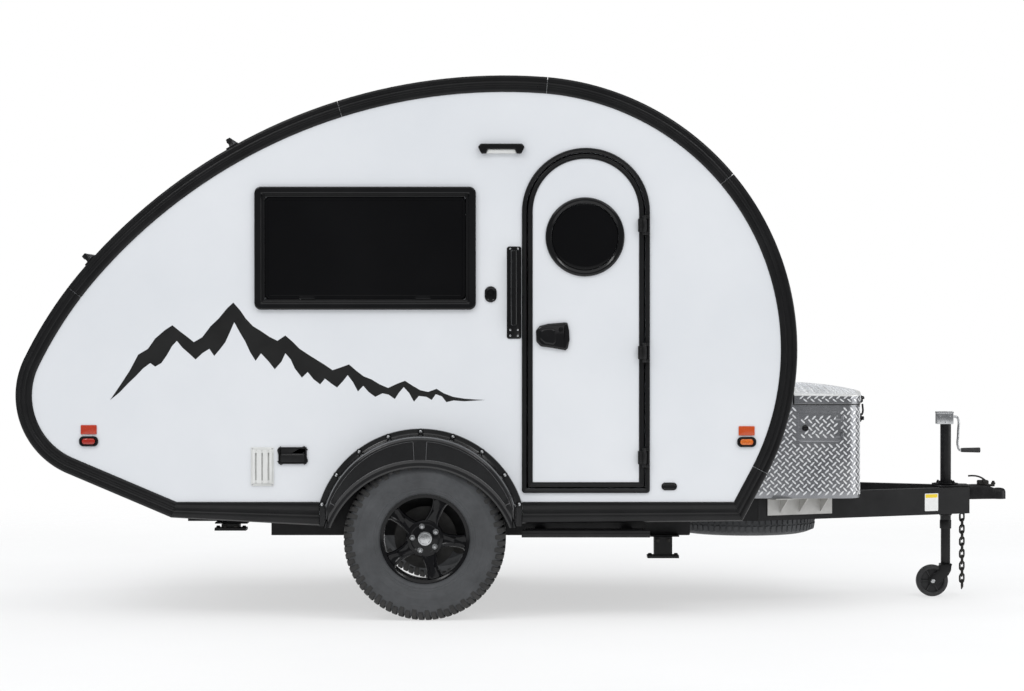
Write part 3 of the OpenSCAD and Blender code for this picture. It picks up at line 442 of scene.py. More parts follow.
def range_on(nodes, links, source, low, high, from_low=0.3, from_high=0.7):
    """Carries a value from one range over to another."""
    span = nodes.new("ShaderNodeMapRange")
    span.inputs["From Min"].default_value = from_low
    span.inputs["From Max"].default_value = from_high
    span.inputs["To Min"].default_value = low
    span.inputs["To Max"].default_value = high
    links.new(source, span.inputs["Value"])
    return span.outputs["Result"]


def bump_on(nodes, links, shader, source, distance, strength=1.0):
    bump = nodes.new("ShaderNodeBump")
    bump.inputs["Distance"].default_value = distance
    bump.inputs["Strength"].default_value = strength
    links.new(source, bump.inputs["Height"])
    links.new(bump.outputs["Normal"], shader.inputs["Normal"])


def grained(name, dark, light, rough, grain=900.0, patch=6.0, depth=0.00015, metallic=0.0, coat=0.0, coat_rough=0.05,
            specular=0.5, stretch=None):
    """A finish with slow colour drift, uneven gloss and a fine grain."""
    finish, nodes, links, shader, at = start_finish(name)
    drift = noise_on(nodes, links, at, patch, 5.0)
    links.new(ramp_on(nodes, links, drift, [(0.3, dark), (0.7, light)]), shader.inputs["Base Color"])
    gloss = noise_on(nodes, links, at, patch * 3, 6.0, 0.7)
    links.new(range_on(nodes, links, gloss, rough[0], rough[1]), shader.inputs["Roughness"])
    fine = noise_on(nodes, links, at, grain, 3.0, 0.6, stretch)
    bump_on(nodes, links, shader, fine, depth)
    shader.inputs["Metallic"].default_value = metallic
    shader.inputs["Specular IOR Level"].default_value = specular
    shader.inputs["Coat Weight"].default_value = coat
    shader.inputs["Coat Roughness"].default_value = coat_rough
    return finish


white_panel = grained("white_panel", (0.70, 0.72, 0.75), (0.76, 0.775, 0.80), (0.28, 0.42), grain=140.0, patch=1.3,
                      depth=0.00003, coat=0.25, coat_rough=0.12)
black_moulding = grained("black_moulding", (0.005, 0.005, 0.0055), (0.010, 0.010, 0.0105), (0.26, 0.40), grain=1400.0,
                         patch=5.0, depth=0.00006, specular=0.32)
gloss_black = grained("gloss_black_plastic", (0.003, 0.003, 0.0035), (0.007, 0.007, 0.0075), (0.10, 0.22), grain=260.0,
                      patch=4.0, depth=0.00003, coat=0.12, specular=0.3)
chassis_paint = grained("chassis_paint", (0.004, 0.004, 0.0045), (0.010, 0.010, 0.0105), (0.30, 0.50), grain=700.0,
                        patch=9.0, depth=0.00012, specular=0.3)
axle_paint = grained("axle_paint", (0.012, 0.011, 0.010), (0.030, 0.028, 0.026), (0.45, 0.70), grain=500.0,
                     patch=16.0, depth=0.0002)
floor_board = grained("floor_board", (0.16, 0.165, 0.17), (0.24, 0.245, 0.25), (0.4, 0.6), grain=300.0, patch=7.0,
                      depth=0.0002, metallic=0.3)
black_plastic = grained("black_plastic", (0.005, 0.005, 0.0055), (0.012, 0.012, 0.0125), (0.34, 0.5), grain=1600.0,
                        patch=12.0, depth=0.0001, specular=0.35)
white_plastic = grained("white_plastic", (0.66, 0.665, 0.65), (0.74, 0.745, 0.73), (0.35, 0.5), grain=900.0,
                        patch=14.0, depth=0.00006)
smoked_plastic = grained("smoked_plastic", (0.030, 0.033, 0.038), (0.055, 0.060, 0.066), (0.12, 0.25), grain=400.0,
                         patch=8.0, depth=0.00004, coat=0.4)
tinted_pane = grained("tinted_pane", (0.0016, 0.0016, 0.002), (0.004, 0.004, 0.0045), (0.04, 0.09), grain=3.0,
                      patch=1.6, depth=0.0004, specular=0.22)
bright_steel = grained("bright_steel", (0.52, 0.53, 0.54), (0.66, 0.67, 0.68), (0.18, 0.36), grain=600.0, patch=18.0,
                       depth=0.00006, metallic=1.0, stretch=(1.0, 1.0, 8.0))
cast_aluminium = grained("cast_aluminium", (0.50, 0.495, 0.475), (0.62, 0.615, 0.60), (0.38, 0.55), grain=500.0,
                         patch=14.0, depth=0.0001, metallic=0.7)
dark_steel = grained("dark_steel", (0.016, 0.015, 0.014), (0.040, 0.038, 0.035), (0.35, 0.6), grain=700.0,
                     patch=40.0, depth=0.0002, metallic=0.6)
solid_rubber = grained("solid_rubber", (0.016, 0.016, 0.017), (0.032, 0.032, 0.033), (0.5, 0.7), grain=900.0,
                       patch=20.0, depth=0.0002)
wheel_paint = grained("wheel_paint", (0.002, 0.002, 0.0025), (0.005, 0.005, 0.006), (0.12, 0.24), grain=320.0,
                      patch=7.0, depth=0.00002, coat=0.12, coat_rough=0.06, specular=0.25)
black_vinyl = grained("black_vinyl", (0.004, 0.004, 0.004), (0.010, 0.010, 0.010), (0.35, 0.5), grain=900.0,
                      patch=6.0, depth=0.00002)
blank_plate = grained("blank_plate", (0.62, 0.62, 0.60), (0.72, 0.72, 0.70), (0.3, 0.45), grain=400.0, patch=20.0,
                      depth=0.00005)
label_white = grained("label_white", (0.70, 0.70, 0.69), (0.76, 0.76, 0.75), (0.35, 0.5), grain=300.0, patch=30.0,
                      depth=0.00002)
label_yellow = grained("label_yellow", (0.72, 0.52, 0.01), (0.80, 0.60, 0.02), (0.35, 0.5), grain=300.0, patch=30.0,
                       depth=0.00002)
fender_moulding = grained("fender_moulding", (0.006, 0.006, 0.0065), (0.012, 0.012, 0.0125), (0.14, 0.24), grain=1400.0,
                          patch=5.0, depth=0.00003, coat=0.35, coat_rough=0.08)
# a lighter grey than the flare's black, for the raised lines round its recesses: a painted highlight
painted_highlight_fender_bead = grained("painted_highlight_fender_bead", (0.10, 0.10, 0.105), (0.17, 0.17, 0.175), (0.18, 0.28), grain=900.0, patch=6.0,
                      depth=0.00002, coat=0.3)


def lens_finish(name, deep, bright, cells=260.0):
    """A moulded lens with small prisms under a smooth face."""
    finish, nodes, links, shader, at = start_finish(name)
    cell = nodes.new("ShaderNodeTexVoronoi")
    cell.inputs["Scale"].default_value = cells
    links.new(at, cell.inputs["Vector"])
    links.new(ramp_on(nodes, links, cell.outputs["Distance"], [(0.05, bright), (0.6, deep)]),
              shader.inputs["Base Color"])
    bump_on(nodes, links, shader, cell.outputs["Distance"], 0.0004, 0.6)
    soft = noise_on(nodes, links, at, 60.0)
    links.new(range_on(nodes, links, soft, 0.08, 0.2), shader.inputs["Roughness"])
    shader.inputs["Coat Weight"].default_value = 0.6
    shader.inputs["Subsurface Weight"].default_value = 0.15
    shader.inputs["Subsurface Radius"].default_value = (0.004, 0.001, 0.0005)
    return finish


red_lens = lens_finish("red_lens", (0.30, 0.012, 0.006), (0.62, 0.035, 0.012))
amber_lens = lens_finish("amber_lens", (0.55, 0.10, 0.006), (0.85, 0.25, 0.02))
red_reflector = lens_finish("red_reflector", (0.42, 0.03, 0.010), (0.60, 0.06, 0.02), 420.0)
amber_reflector = lens_finish("amber_reflector", (0.50, 0.06, 0.008), (0.66, 0.10, 0.012), 420.0)


def rolled_finish(name, deep, bright, rough, metallic):
    """Rolled aluminium: fine rolling lines, smears and small scratches."""
    finish, nodes, links, shader, at = start_finish(name)
    smear = noise_on(nodes, links, at, 5.0, 6.0, 0.6)
    links.new(ramp_on(nodes, links, smear, [(0.3, deep), (0.7, bright)]), shader.inputs["Base Color"])
    lines = noise_on(nodes, links, at, 120.0, 5.0, 0.7, (0.25, 0.25, 7.0))
    links.new(range_on(nodes, links, lines, *rough), shader.inputs["Roughness"])
    bump_on(nodes, links, shader, lines, 0.00012)
    shader.inputs["Metallic"].default_value = metallic
    return finish


# The three copies of rolled aluminium below differ only by painted light. The tub's sheet is darkened as painted shade,
# the lid's top is lightened as painted light from above, and the raised bars are lightened as a painted highlight.
tread_sheet = rolled_finish("tread_sheet", (0.22, 0.225, 0.24), (0.36, 0.365, 0.38), (0.20, 0.38), 0.85)
painted_light_tread_crown = rolled_finish("painted_light_tread_crown", (0.74, 0.74, 0.73), (0.86, 0.86, 0.85), (0.30, 0.45), 0.35)
painted_highlight_tread_bars = rolled_finish("painted_highlight_tread_bars", (0.84, 0.85, 0.87), (0.94, 0.945, 0.95), (0.22, 0.36), 0.45)


def rubber_finish(name, deep, dusty):
    """Dark rubber with dust, uneven gloss and grit."""
    finish, nodes, links, shader, at = start_finish(name)
    dust = noise_on(nodes, links, at, 9.0, 7.0, 0.65)
    links.new(ramp_on(nodes, links, dust, [(0.25, deep), (0.75, dusty)]), shader.inputs["Base Color"])
    uneven = noise_on(nodes, links, at, 30.0, 5.0)
    links.new(range_on(nodes, links, uneven, 0.50, 0.72), shader.inputs["Roughness"])
    grit = noise_on(nodes, links, at, 420.0, 4.0)
    bump_on(nodes, links, shader, grit, 0.0003)
    return finish


tyre_rubber = rubber_finish("tyre_rubber", (0.040, 0.042, 0.045), (0.072, 0.075, 0.080))
tread_rubber = rubber_finish("tread_rubber", (0.016, 0.016, 0.016), (0.034, 0.033, 0.032))

# ---------------------------------------------------------------- finishes for the parts that keep their solids
KEPT = {
    white_panel: ("right_wall", "left_wall", "front_panel", "roof_panel", "rear_panel", "door"),
    chassis_paint: ("frame_rails", "cross_members", "tongue_rails", "riser_rails", "wheel_boxes", "door_hinges",
                    "rear_crossbars", "entry_step", "stabilisers", "coupler", "tongue_jack", "jack_fork"),
    axle_paint: ("axle_beam", "axle_arms"),
    floor_board: ("floor_panel",),
    black_moulding: ("right_edge_trim", "left_edge_trim", "right_sill", "left_sill", "right_fender", "left_fender",
                     "door_frame"),
    gloss_black: ("right_window", "left_window", "rear_window"),
    tinted_pane: ("right_window_pane", "left_window_pane", "rear_window_pane", "door_pane"),
    black_plastic: ("door_handle", "grab_handle", "porch_light", "side_fittings", "marker_lamps", "water_tank"),
    white_plastic: ("vent_cover", "roof_vent"),
    smoked_plastic: ("roof_vent_lid",),
    red_lens: ("red_lenses", "tail_lamps"),
    amber_lens: ("amber_lenses",),
    blank_plate: ("number_plate",),
    bright_steel: ("jack_crank",),
    cast_aluminium: ("tub_brackets",),
    dark_steel: ("safety_chains",),
    solid_rubber: ("jack_wheel",),
    # the darkened copy of the sheet is painted shade
    tread_sheet: ("storage_tub", "tub_lid", "tub_door"),
    wheel_paint: ("right_wheel", "left_wheel"),
    tyre_rubber: ("right_tyre", "left_tyre", "spare_wheel"),
}
for finish, names in KEPT.items():
    for name in names:
        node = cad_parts[name]
        if not node.material_slots:
            node.data.materials.append(finish)
        for held in node.material_slots:
            held.material = finish

# ---------------------------------------------------------------- skins of the front, roof and rear
SKIN_EDGE = HALF_W - WALL_T
SEAM_REAR, SEAM_FRONT = 107.5, 85.0
strip = [(TRIM_T, -SKIN_EDGE), (TRIM_T, SKIN_EDGE), (TRIM_T + WALL_T, SKIN_EDGE), (TRIM_T + WALL_T, -SKIN_EDGE)]
front_skin = swept("front_skin", strip, SEAM_FRONT - 0.04, NOSE_END, chin_to=FRAME_Z + 0.3)
roof_skin = swept("roof_skin", strip, SEAM_REAR - 0.04, SEAM_FRONT + 0.04)
rear_skin = swept("rear_skin", strip, KICK_N, SEAM_REAR + 0.04, tail_to=FRAME_Z + 0.3)
for skin, node in ((front_skin, "front_panel"), (roof_skin, "roof_panel"), (rear_skin, "rear_panel")):
    finished(skin, white_panel, (node,))

# ---------------------------------------------------------------- edge mouldings
OUT = HALF_W + TRIM_T
INNER = HALF_W - 45
# across the moulding: inset from the outline, distance from the middle of the trailer
trim_profile = [(0.6, INNER), (0, INNER + 3), (0, OUT - 14), (1.0, OUT - 8), (3.5, OUT - 3.5), (8, OUT - 0.5),
                (14, OUT), (20, OUT - 1.0), (23, OUT - 4.2), (27, OUT - 4.6), (30, OUT - 2.0), (35, OUT - 1.2),
                (41, OUT - 2.0), (44, OUT - 4.6), (48, OUT - 4.8), (51, OUT - 2.4), (58, OUT - 1.6), (66, OUT - 2.6),
                (72, OUT - 6), (TRIM_W, HALF_W + 2), (TRIM_W, HALF_W + 0.3), (TRIM_T, HALF_W + 0.3),
                (TRIM_T, INNER)]
TRIM_SEAMS = [142.6, SEAM_REAR, SEAM_FRONT, 40.0, NOSE_END + 1]
HALF_SEAM = 1.4


def seam_angle(n, sign):
    """The angle half a seam before or after the seam at n."""
    for _, _, r, _, a1 in ARCS:
        if n >= a1:
            return n + sign * math.degrees(HALF_SEAM / r)


front_inner = chin_point(TRIM_W, PANEL_Z)
front_outer = chin_point(0, SILL_Z)
rear_inner = kick_point(TRIM_W, PANEL_Z)
rear_outer = kick_point(0, KICK_Z)


def mitre(inner, outer):
    """Normal of the upright plane across the moulding through two of its corners."""
    dx, dz = outer[0] - inner[0], outer[1] - inner[1]
    length = math.hypot(dx, dz)
    return -dz / length, 0, dx / length


for side, word in SIDES:
    bounds = [KICK_N] + TRIM_SEAMS + [NOSE_END]
    profile = [(d, side * y) for d, y in trim_profile]
    lengths = []
    for i in range(len(bounds) - 1):
        n0 = bounds[i] if i == 0 else seam_angle(bounds[i], -1)
        last = i == len(bounds) - 2
        n1 = bounds[i + 1] if last else seam_angle(bounds[i + 1], 1)
        length = swept(f"{word}_edge_moulding_{i + 1}", profile, n0, n1, tail_to=420.0 if i == 0 else None,
                       chin_to=400.0 if last else None)
        if i == 0:
            normal = mitre(rear_inner, rear_outer)
            if normal[0] < 0:
                normal = tuple(-c for c in normal)
            cut_away(length, (rear_inner[0], 0, rear_inner[1]), normal)
            cut_away(length, (0, 0, KICK_Z), (0, 0, -1))
        if last:
            normal = mitre(front_inner, front_outer)
            if normal[0] > 0:
                normal = tuple(-c for c in normal)
            cut_away(length, (front_inner[0], 0, front_inner[1]), normal)
            cut_away(length, (0, 0, SILL_Z), (0, 0, -1))
        lengths.append(length)
    moulding = joined(f"{word}_edge_moulding", lengths)
    finished(moulding, black_moulding, (f"{word}_edge_trim",), smooth=32)

# ---------------------------------------------------------------- sills
AXLE_X = TAIL_X + 1843.0
HUB_Z = 364.0
FLARE_X, FLARE_Z, FLARE_R = AXLE_X - 20, HUB_Z + 16, 477.0


def sill_ring(x, low, side, lean):
    """Section of the sill at x. Each height may lean along x, so that the end meets the moulding at a mitre."""
    high = PANEL_Z
    t = high - low
    pts = [(0, 0.3), (0, 6), (0.05, 11), (0.12, 12), (0.27, 12), (0.32, 9.5), (0.36, 7.0), (0.52, 6.5), (0.57, 7.5),
           (0.62, 11.5), (0.70, 12), (0.84, 10.8), (0.93, 7), (1.0, -4), (1.0, -60), (0.9, -60), (0.89, 0.3)]
    return [(x + lean(high - f * t), side * (HALF_W + y), high - f * t) for f, y in pts]


for side, word in SIDES:
    flat = lambda z: 0.0
    rear_lean = lambda z: (rear_outer[0] - rear_inner[0]) * (PANEL_Z - z) / (PANEL_Z - KICK_Z) + 0.4
    front_lean = lambda z: (front_outer[0] - front_inner[0]) * (PANEL_Z - z) / (PANEL_Z - SILL_Z) - 0.4
    rear_end = FLARE_X - FLARE_R + 20
    front_start = FLARE_X + FLARE_R - 20
    rear_sill = loft(f"{word}_rear_sill", [sill_ring(rear_inner[0], KICK_Z, side, rear_lean),
                                           sill_ring(rear_end - 0.5, 420, side, flat)])
    front_sill = loft(f"{word}_front_sill", [sill_ring(front_start + 0.5, 430, side, flat),
                                             sill_ring(front_inner[0], SILL_Z, side, front_lean)])
    sills = joined(f"{word}_sill_moulding", [rear_sill, front_sill])
    finished(sills, black_moulding, (f"{word}_sill",), smooth=32)

# ---------------------------------------------------------------- side windows
WIN_X, WIN_Z, WIN_W, WIN_H = TAIL_X + 1574.0, 1668.0, 996.0, 553.0


def rect_rings(w, h, r, cx, cz, section):
    """Rounded rectangles, one for each (inset, y) of the section."""
    return [[(x, y, z) for x, z in round_rect(w - 2 * d, h - 2 * d, max(r - d, 7.0), cx, cz, 6)] for d, y in section]


def side_window(side, word):
    """A framed acrylic window: rounded frame, a step down to a thin bead, and a dark pane with a pressed border."""
    y = lambda out: side * (HALF_W + out)
    rings = rect_rings(WIN_W, WIN_H, 30, WIN_X, WIN_Z, [
        (0, y(0.3)), (0, y(12)), (1.5, y(17)), (5, y(19.6)), (9, y(20)), (24, y(20)), (29, y(18.5)), (32, y(14)),
        (33, y(12.4)), (36, y(12)), (38, y(13.8)), (41, y(14.6)), (44, y(14)), (46, y(11)), (47.4, y(7)),
        (47.4, y(-32)), (43.2, y(-32)), (43.2, y(0.3))])
    rings.append(rings[0])
    frame_piece = loft(f"{word}_window_frame", rings, capped=False)
    finished(frame_piece, gloss_black, (f"{word}_window",), smooth=50)
    pane = loft(f"{word}_window_glass", rect_rings(WIN_W - 96, WIN_H - 96, 22, WIN_X, WIN_Z, [
        (0, y(6.1)), (0, y(8.4)), (0.8, y(9.0)), (13, y(9.0)), (14.5, y(10.4)), (18, y(11.2)), (120, y(11.8))]))
    finished(pane, tinted_pane, (f"{word}_window_pane",), smooth=30)
    # the hinge rail along the head, with its end clips, and two latches at the foot
    rail = slab(f"{word}_window_hinge_rail", round_rect(WIN_W - 90, 14, 5, WIN_X, WIN_Z + WIN_H / 2 - 30, 4),
                y(10), y(17.5), 2.5, 3)
    clips = [slab("clip", round_rect(9, 34, 3, WIN_X + s * (WIN_W / 2 - 44), WIN_Z + WIN_H / 2 - 34, 3),
                  y(10), y(18.2), 1.6) for s in (-1, 1)]
    latches = [slab("latch", round_rect(70, 12, 4, WIN_X + s * 260, WIN_Z - WIN_H / 2 + 54, 3), y(9), y(14.5), 1.5)
               for s in (-1, 1)]
    finished(joined(f"{word}_window_hardware", [rail] + clips + latches), gloss_black)


for side, word in SIDES:
    side_window(side, word)


# rear window: a frame and pane that follow the back
def curved_strip(name, d0, d1, n0, n1, y0, y1):
    """A strip that follows the skin, between two depths and two distances from the middle."""
    return swept(name, [(d0, y0), (d0, y1), (d1, y1), (d1, y0)], n0, n1, step=1.0)


def rim_bars(name, n0, n1, half_y, width, d0, d1):
    """Four bars of a frame that follows the skin."""
    span = math.degrees(width / BACK_R)
    bars = [curved_strip(f"{name}_low", d0, d1, n0, n0 - span, -half_y, half_y),
            curved_strip(f"{name}_high", d0, d1, n1 + span, n1, -half_y, half_y)]
    for s in (-1, 1):
        bars.append(curved_strip(f"{name}_side", d0, d1, n0, n1, s * half_y, s * (half_y - width)))
    return bars


REAR_N0, REAR_N1, REAR_HALF = 135.4, 122.6, 700.0
rear_bars = [soften(b, 3.5, 2, 40) for b in rim_bars("rear_window_frame", REAR_N0, REAR_N1, REAR_HALF, 42, -2.0, 11.7)]
inner_bars = [soften(b, 1.5, 2, 40) for b in rim_bars("rear_window_bead", REAR_N0 - 1.25, REAR_N1 + 1.0,
                                                     REAR_HALF - 41, 9, 2.0, 11.5)]
finished(joined("rear_window_frame", rear_bars + inner_bars), gloss_black, ("rear_window",), smooth=40)
rear_pane = curved_strip("rear_window_glass", 4.0, 10.0, REAR_N0 - 1.01, REAR_N1 + 1.01, 42.3 - REAR_HALF,
                         REAR_HALF - 42.3)
finished(rear_pane, tinted_pane, ("rear_window_pane",))

# ---------------------------------------------------------------- door
DOOR_X, DOOR_W, DOOR_Z0, DOOR_Z1, JAMB, GAP = TAIL_X + 2566.0, 576.0, 567.0, 2119.0, 21.0, 6.0
ARCH_Z = DOOR_Z1 - DOOR_W / 2
HOLE_X, HOLE_Z = DOOR_X - 4, 1719.0


def arch(d, steps=40, corner=10.0):
    """The door's outline, inset by d: straight sides, a round head and small radii at the foot."""
    w = DOOR_W / 2 - d
    low = DOOR_Z0 + d
    points = [(DOOR_X + w * unit(180 * i / steps)[0], ARCH_Z + w * unit(180 * i / steps)[1]) for i in range(steps + 1)]
    for sx, a0 in ((-1, 180), (1, 270)):
        for i in range(5):
            c, s = unit(a0 + 90 * i / 4)
            points.append((DOOR_X + sx * (w - corner) + corner * c, low + corner + corner * s))
    return points


def arch_band(name, section):
    """A moulding round the door: section points are (inset, y)."""
    rings = [[(x, y, z) for x, z in arch(d, corner=max(3.0, 14 - d * 0.3))] for d, y in section]
    rings.append(rings[0])
    return loft(name, rings, capped=False)


door_moulding = arch_band("door_frame_moulding", [
    (0, WALL_Y), (0, -1005), (1.5, -1009.5), (5, -1011.6), (9, -1012), (13, -1010.2), (16, -1007.5), (19, -1007),
    (JAMB, -1004.5), (JAMB, WALL_Y)])
finished(door_moulding, black_moulding, ("door_frame",), smooth=60)
LEAF = JAMB + GAP
leaf = slab("door_leaf", arch(LEAF), -970, -1000)
leaf_hole = turned("leaf_hole", [(0, -60), (149.9, -60), (149.9, 60), (0, 60)], (HOLE_X, -985, HOLE_Z), steps=96)
work_on(leaf)
cut = leaf.modifiers.new("porthole", "BOOLEAN")
cut.object, cut.operation, cut.solver = leaf_hole, "DIFFERENCE", "EXACT"
bpy.ops.object.modifier_apply(modifier=cut.name)
bpy.data.objects.remove(leaf_hole)
right_way(leaf)
finished(leaf, white_panel, ("door",), body="entry_door")
leaf_edge = arch_band("door_leaf_moulding", [
    (LEAF, -999.7), (LEAF, -1005), (LEAF + 2, -1008.4), (LEAF + 6, -1009), (LEAF + 10, -1007.6),
    (LEAF + 13, -1005.4), (LEAF + 16, -1005.6), (LEAF + 19, -1006.2), (LEAF + 22, -1003.5), (LEAF + 22, -999.7)])
finished(leaf_edge, black_moulding, body="entry_door", smooth=60)
ring = turned("porthole_ring", [(150, -999.8), (150, -1005.5), (153, -1009), (158, -1010.5), (161, -1013.2),
                                (166, -1014), (171, -1013.2), (175, -1010), (178, -1004), (178, -999.8)],
              (HOLE_X, 0, HOLE_Z), steps=96)
finished(ring, gloss_black, body="entry_door", smooth=60)
porthole = turned("porthole_glass", [(0, -1003.8), (120, -1003.6), (146, -1002.8), (149.4, -1001), (149.4, -998.2),
                                     (0, -998.2)], (HOLE_X, 0, HOLE_Z), steps=96)
finished(porthole, tinted_pane, ("door_pane",), body="entry_door", smooth=40)
inner_ring = turned("porthole_inner_ring", [(149.6, -972), (149.6, -998), (140, -998), (136, -994), (136, -972)],
                    (HOLE_X, 0, HOLE_Z), steps=96)
finished(inner_ring, gloss_black, body="entry_door", smooth=60)

PIN_X, PIN_Y = DOOR_X + (DOOR_W - 2 * JAMB) / 2 - 4, -1021.0
PIN_Z = [DOOR_Z0 + 160, (DOOR_Z0 + ARCH_Z) / 2, ARCH_Z - 60]
moving, fixed = [], []
for z in PIN_Z:
    barrel = turned("knuckle", [(5.2, -30), (8.2, -30), (9, -29), (9, 29), (8.2, 30), (5.2, 30)], (PIN_X, PIN_Y, z),
                    axis="Z", steps=28)
    strap = block("strap", (PIN_X - 29, PIN_Y - 2, z - 29.5), (PIN_X - 4, -1000.2, z + 29.5), 2.0)
    screws = [turned("screw", [(0, 0), (4, 0), (4, -1.4), (2.4, -2.4), (0, -2.6)], (PIN_X - 17, PIN_Y - 2, z + dz),
                     steps=16) for dz in (-17, 0, 17)]
    moving += [barrel, strap] + screws
    fixed.append(turned("hinge_pin", [(0, -44), (5, -44), (5, 44), (0, 44)], (PIN_X, PIN_Y, z), axis="Z", steps=24))
    for e in (-1, 1):
        z0, z1 = (z + 30.5, z + 44) if e > 0 else (z - 44, z - 30.5)
        fixed.append(turned("ear", [(0, z0 - z), (8.4, z0 - z), (9, z0 - z + 0.8), (9, z1 - z - 2), (7, z1 - z),
                                    (0, z1 - z)], (PIN_X, PIN_Y, z), axis="Z", steps=24))
        fixed.append(block("ear_leaf", (PIN_X + 4, PIN_Y - 2, z0), (PIN_X + 24, -1012.2, z1), 1.5))
finished(joined("door_hinge_knuckles", moving), black_plastic, body="entry_door", smooth=40)
finished(joined("door_hinge_ears", fixed), black_plastic, ("door_hinges",), smooth=40)

# paddle latch: a dished plate, a lever and a lock
HX, HZ = DOOR_X - 149.0, 1267.0
plate_line = [(-76, 30), (-60, 52), (-20, 62), (55, 68), (66, 66), (74, 30), (76, -10), (68, -48), (58, -58),
              (-10, -46), (-55, -40), (-74, -18)]
latch_plate = stepped("door_latch_plate", [(HX + x, HZ + z) for x, z in plate_line], WALL_Y, -1012,
                      [(10, 6), (8, -3)], 2.2, 3)
lever_line = [(-58, 22), (-44, 38), (-8, 42), (10, 34), (14, -22), (4, -34), (-36, -28), (-56, -10)]
lever = stepped("lever", [(HX + x, HZ + z) for x, z in lever_line], -1012, -1018, [(7, 3.5)], 1.6)
lock = turned("lock", [(0, -1020), (9, -1020), (11, -1018), (11, -1010), (0, -1010)], (HX + 38, 0, HZ + 34), steps=28)
slot_bar = block("key_slot", (HX + 37, -1020.6, HZ + 29), (HX + 39, -1019.5, HZ + 39), 0.3)
finished(joined("door_latch", [latch_plate, lever, lock, slot_bar]), gloss_black, ("door_handle",),
         body="entry_door", smooth=40)

# ---------------------------------------------------------------- grab rail, porch light and small fittings
GX, GZ0, GZ1 = TAIL_X + 2243.0, 1261.0, 1676.0
grab = [stepped("grab_plate", round_rect(65, GZ1 - GZ0, 10, GX, (GZ0 + GZ1) / 2), WALL_Y, -1004, [(4, 1.6)], 0.8)]
for z in (GZ0 + 82, GZ1 - 36):
    grab.append(block("standoff", (GX - 13, -1044, z - 18), (GX + 13, -1004, z + 18), 5.0, 3))
grab.append(turned("grip", [(0, GZ0 + 60), (10, GZ0 + 60), (14, GZ0 + 64), (14, GZ1 - 22), (10, GZ1 - 18),
                            (0, GZ1 - 18)], (GX, -1044, 0), axis="Z", steps=32))
for i in range(9):
    z = GZ0 + 118 + i * 28
    grab.append(turned("grip_ring", [(13.6, z), (15.4, z + 1.5), (15.4, z + 6), (13.6, z + 7.5)], (GX, -1044, 0),
                       axis="Z", steps=32))
finished(joined("grab_rail", grab), gloss_black, ("grab_handle",), smooth=40)


def screw_head(x, y, z, r=4.5):
    """A domed screw head on a face that looks to the right."""
    return turned("screw", [(0, 0), (r, 0), (r * 0.95, -0.9), (r * 0.6, -1.9), (0, -2.2)], (x, y, z), steps=16)


grab_screws = [screw_head(GX + sx * 17, -1005.4, z) for sx in (-1, 1) for z in (GZ0 + 14, GZ0 + 40, GZ1 - 11)]
finished(joined("grab_rail_screws", grab_screws), bright_steel)

PX, PZ = TAIL_X + 2186.0, 2115.0
hood = slab("porch_hood", [(PX + x, PZ + z) for x, z in [(-105, 8), (-93, 22), (93, 22), (105, 8), (90, -23),
                                                        (70, -23), (62, -2), (-62, -2), (-70, -23), (-90, -23)]],
            WALL_Y, -1026)
soften(hood, 4.5, 3, 25)
finished(hood, gloss_black, ("porch_light",), smooth=40)
strip_lens = slab("porch_lens", [(PX + x, PZ + z) for x, z in [(-61, -3), (61, -3), (68, -22), (-68, -22)]],
                  WALL_Y, -1017, 3.0)
finished(strip_lens, white_plastic)

# heater flue: oval plate with a round hooded outlet
FX, FZ = TAIL_X + 2138.0, 1461.0
flue = stepped("flue_plate", round_rect(54, 72, 26, FX, FZ, 8), WALL_Y, -1005, [(6, 3), (8, -5)], 0.9)
flue_mouth = turned("flue_mouth", [(8, -1001), (8, -1007.5), (9.5, -1009), (12, -1009), (13, -1007), (13, -1001)],
                    (FX, 0, FZ + 6), steps=32)
key_block = slab("flue_tab", round_rect(16, 12, 3, FX, FZ - 18, 3), -1003, -1008.6, 1.0)
finished(joined("heater_flue", [flue, flue_mouth, key_block]), gloss_black, ("side_fittings",),
         smooth=40)

# outlet cover: frame, dark recess above and a sprung flap below
OX, OZ = TAIL_X + 1247.0, 736.0
outlet = stepped("outlet_frame", round_rect(128, 76, 5, OX, OZ, 3), WALL_Y, -1009, [(5, 2), (3, -5)], 0.9)
flap = slab("outlet_flap", round_rect(110, 34, 3, OX, OZ - 13, 3), -1005, -1012.5, 2.2)
flap_rod = rod("flap_rod", (OX - 52, -1010, OZ + 7), (OX + 52, -1010, OZ + 7), 3.2, 16)
finished(joined("outlet_cover", [outlet, flap, flap_rod]), black_plastic, smooth=40)
pale_edge = slab("outlet_edge", round_rect(100, 3, 1.2, OX, OZ + 3, 3), -1009, -1011.6, 0.5)
finished(pale_edge, cast_aluminium)

# small oval drain
VX, VZ = TAIL_X + 2941.0, 597.0
drain = stepped("drain_oval", round_rect(70, 35, 17, VX, VZ, 8), WALL_Y, -1004, [(4, 2.6), (5, -3)], 0.7)
drain_bars = [slab("drain_bar", round_rect(44, 2.4, 1, VX, VZ + dz, 2), -1002, -1005.6, 0.5) for dz in (-5, 0, 5)]
finished(joined("water_drain", [drain] + drain_bars), gloss_black, smooth=40)

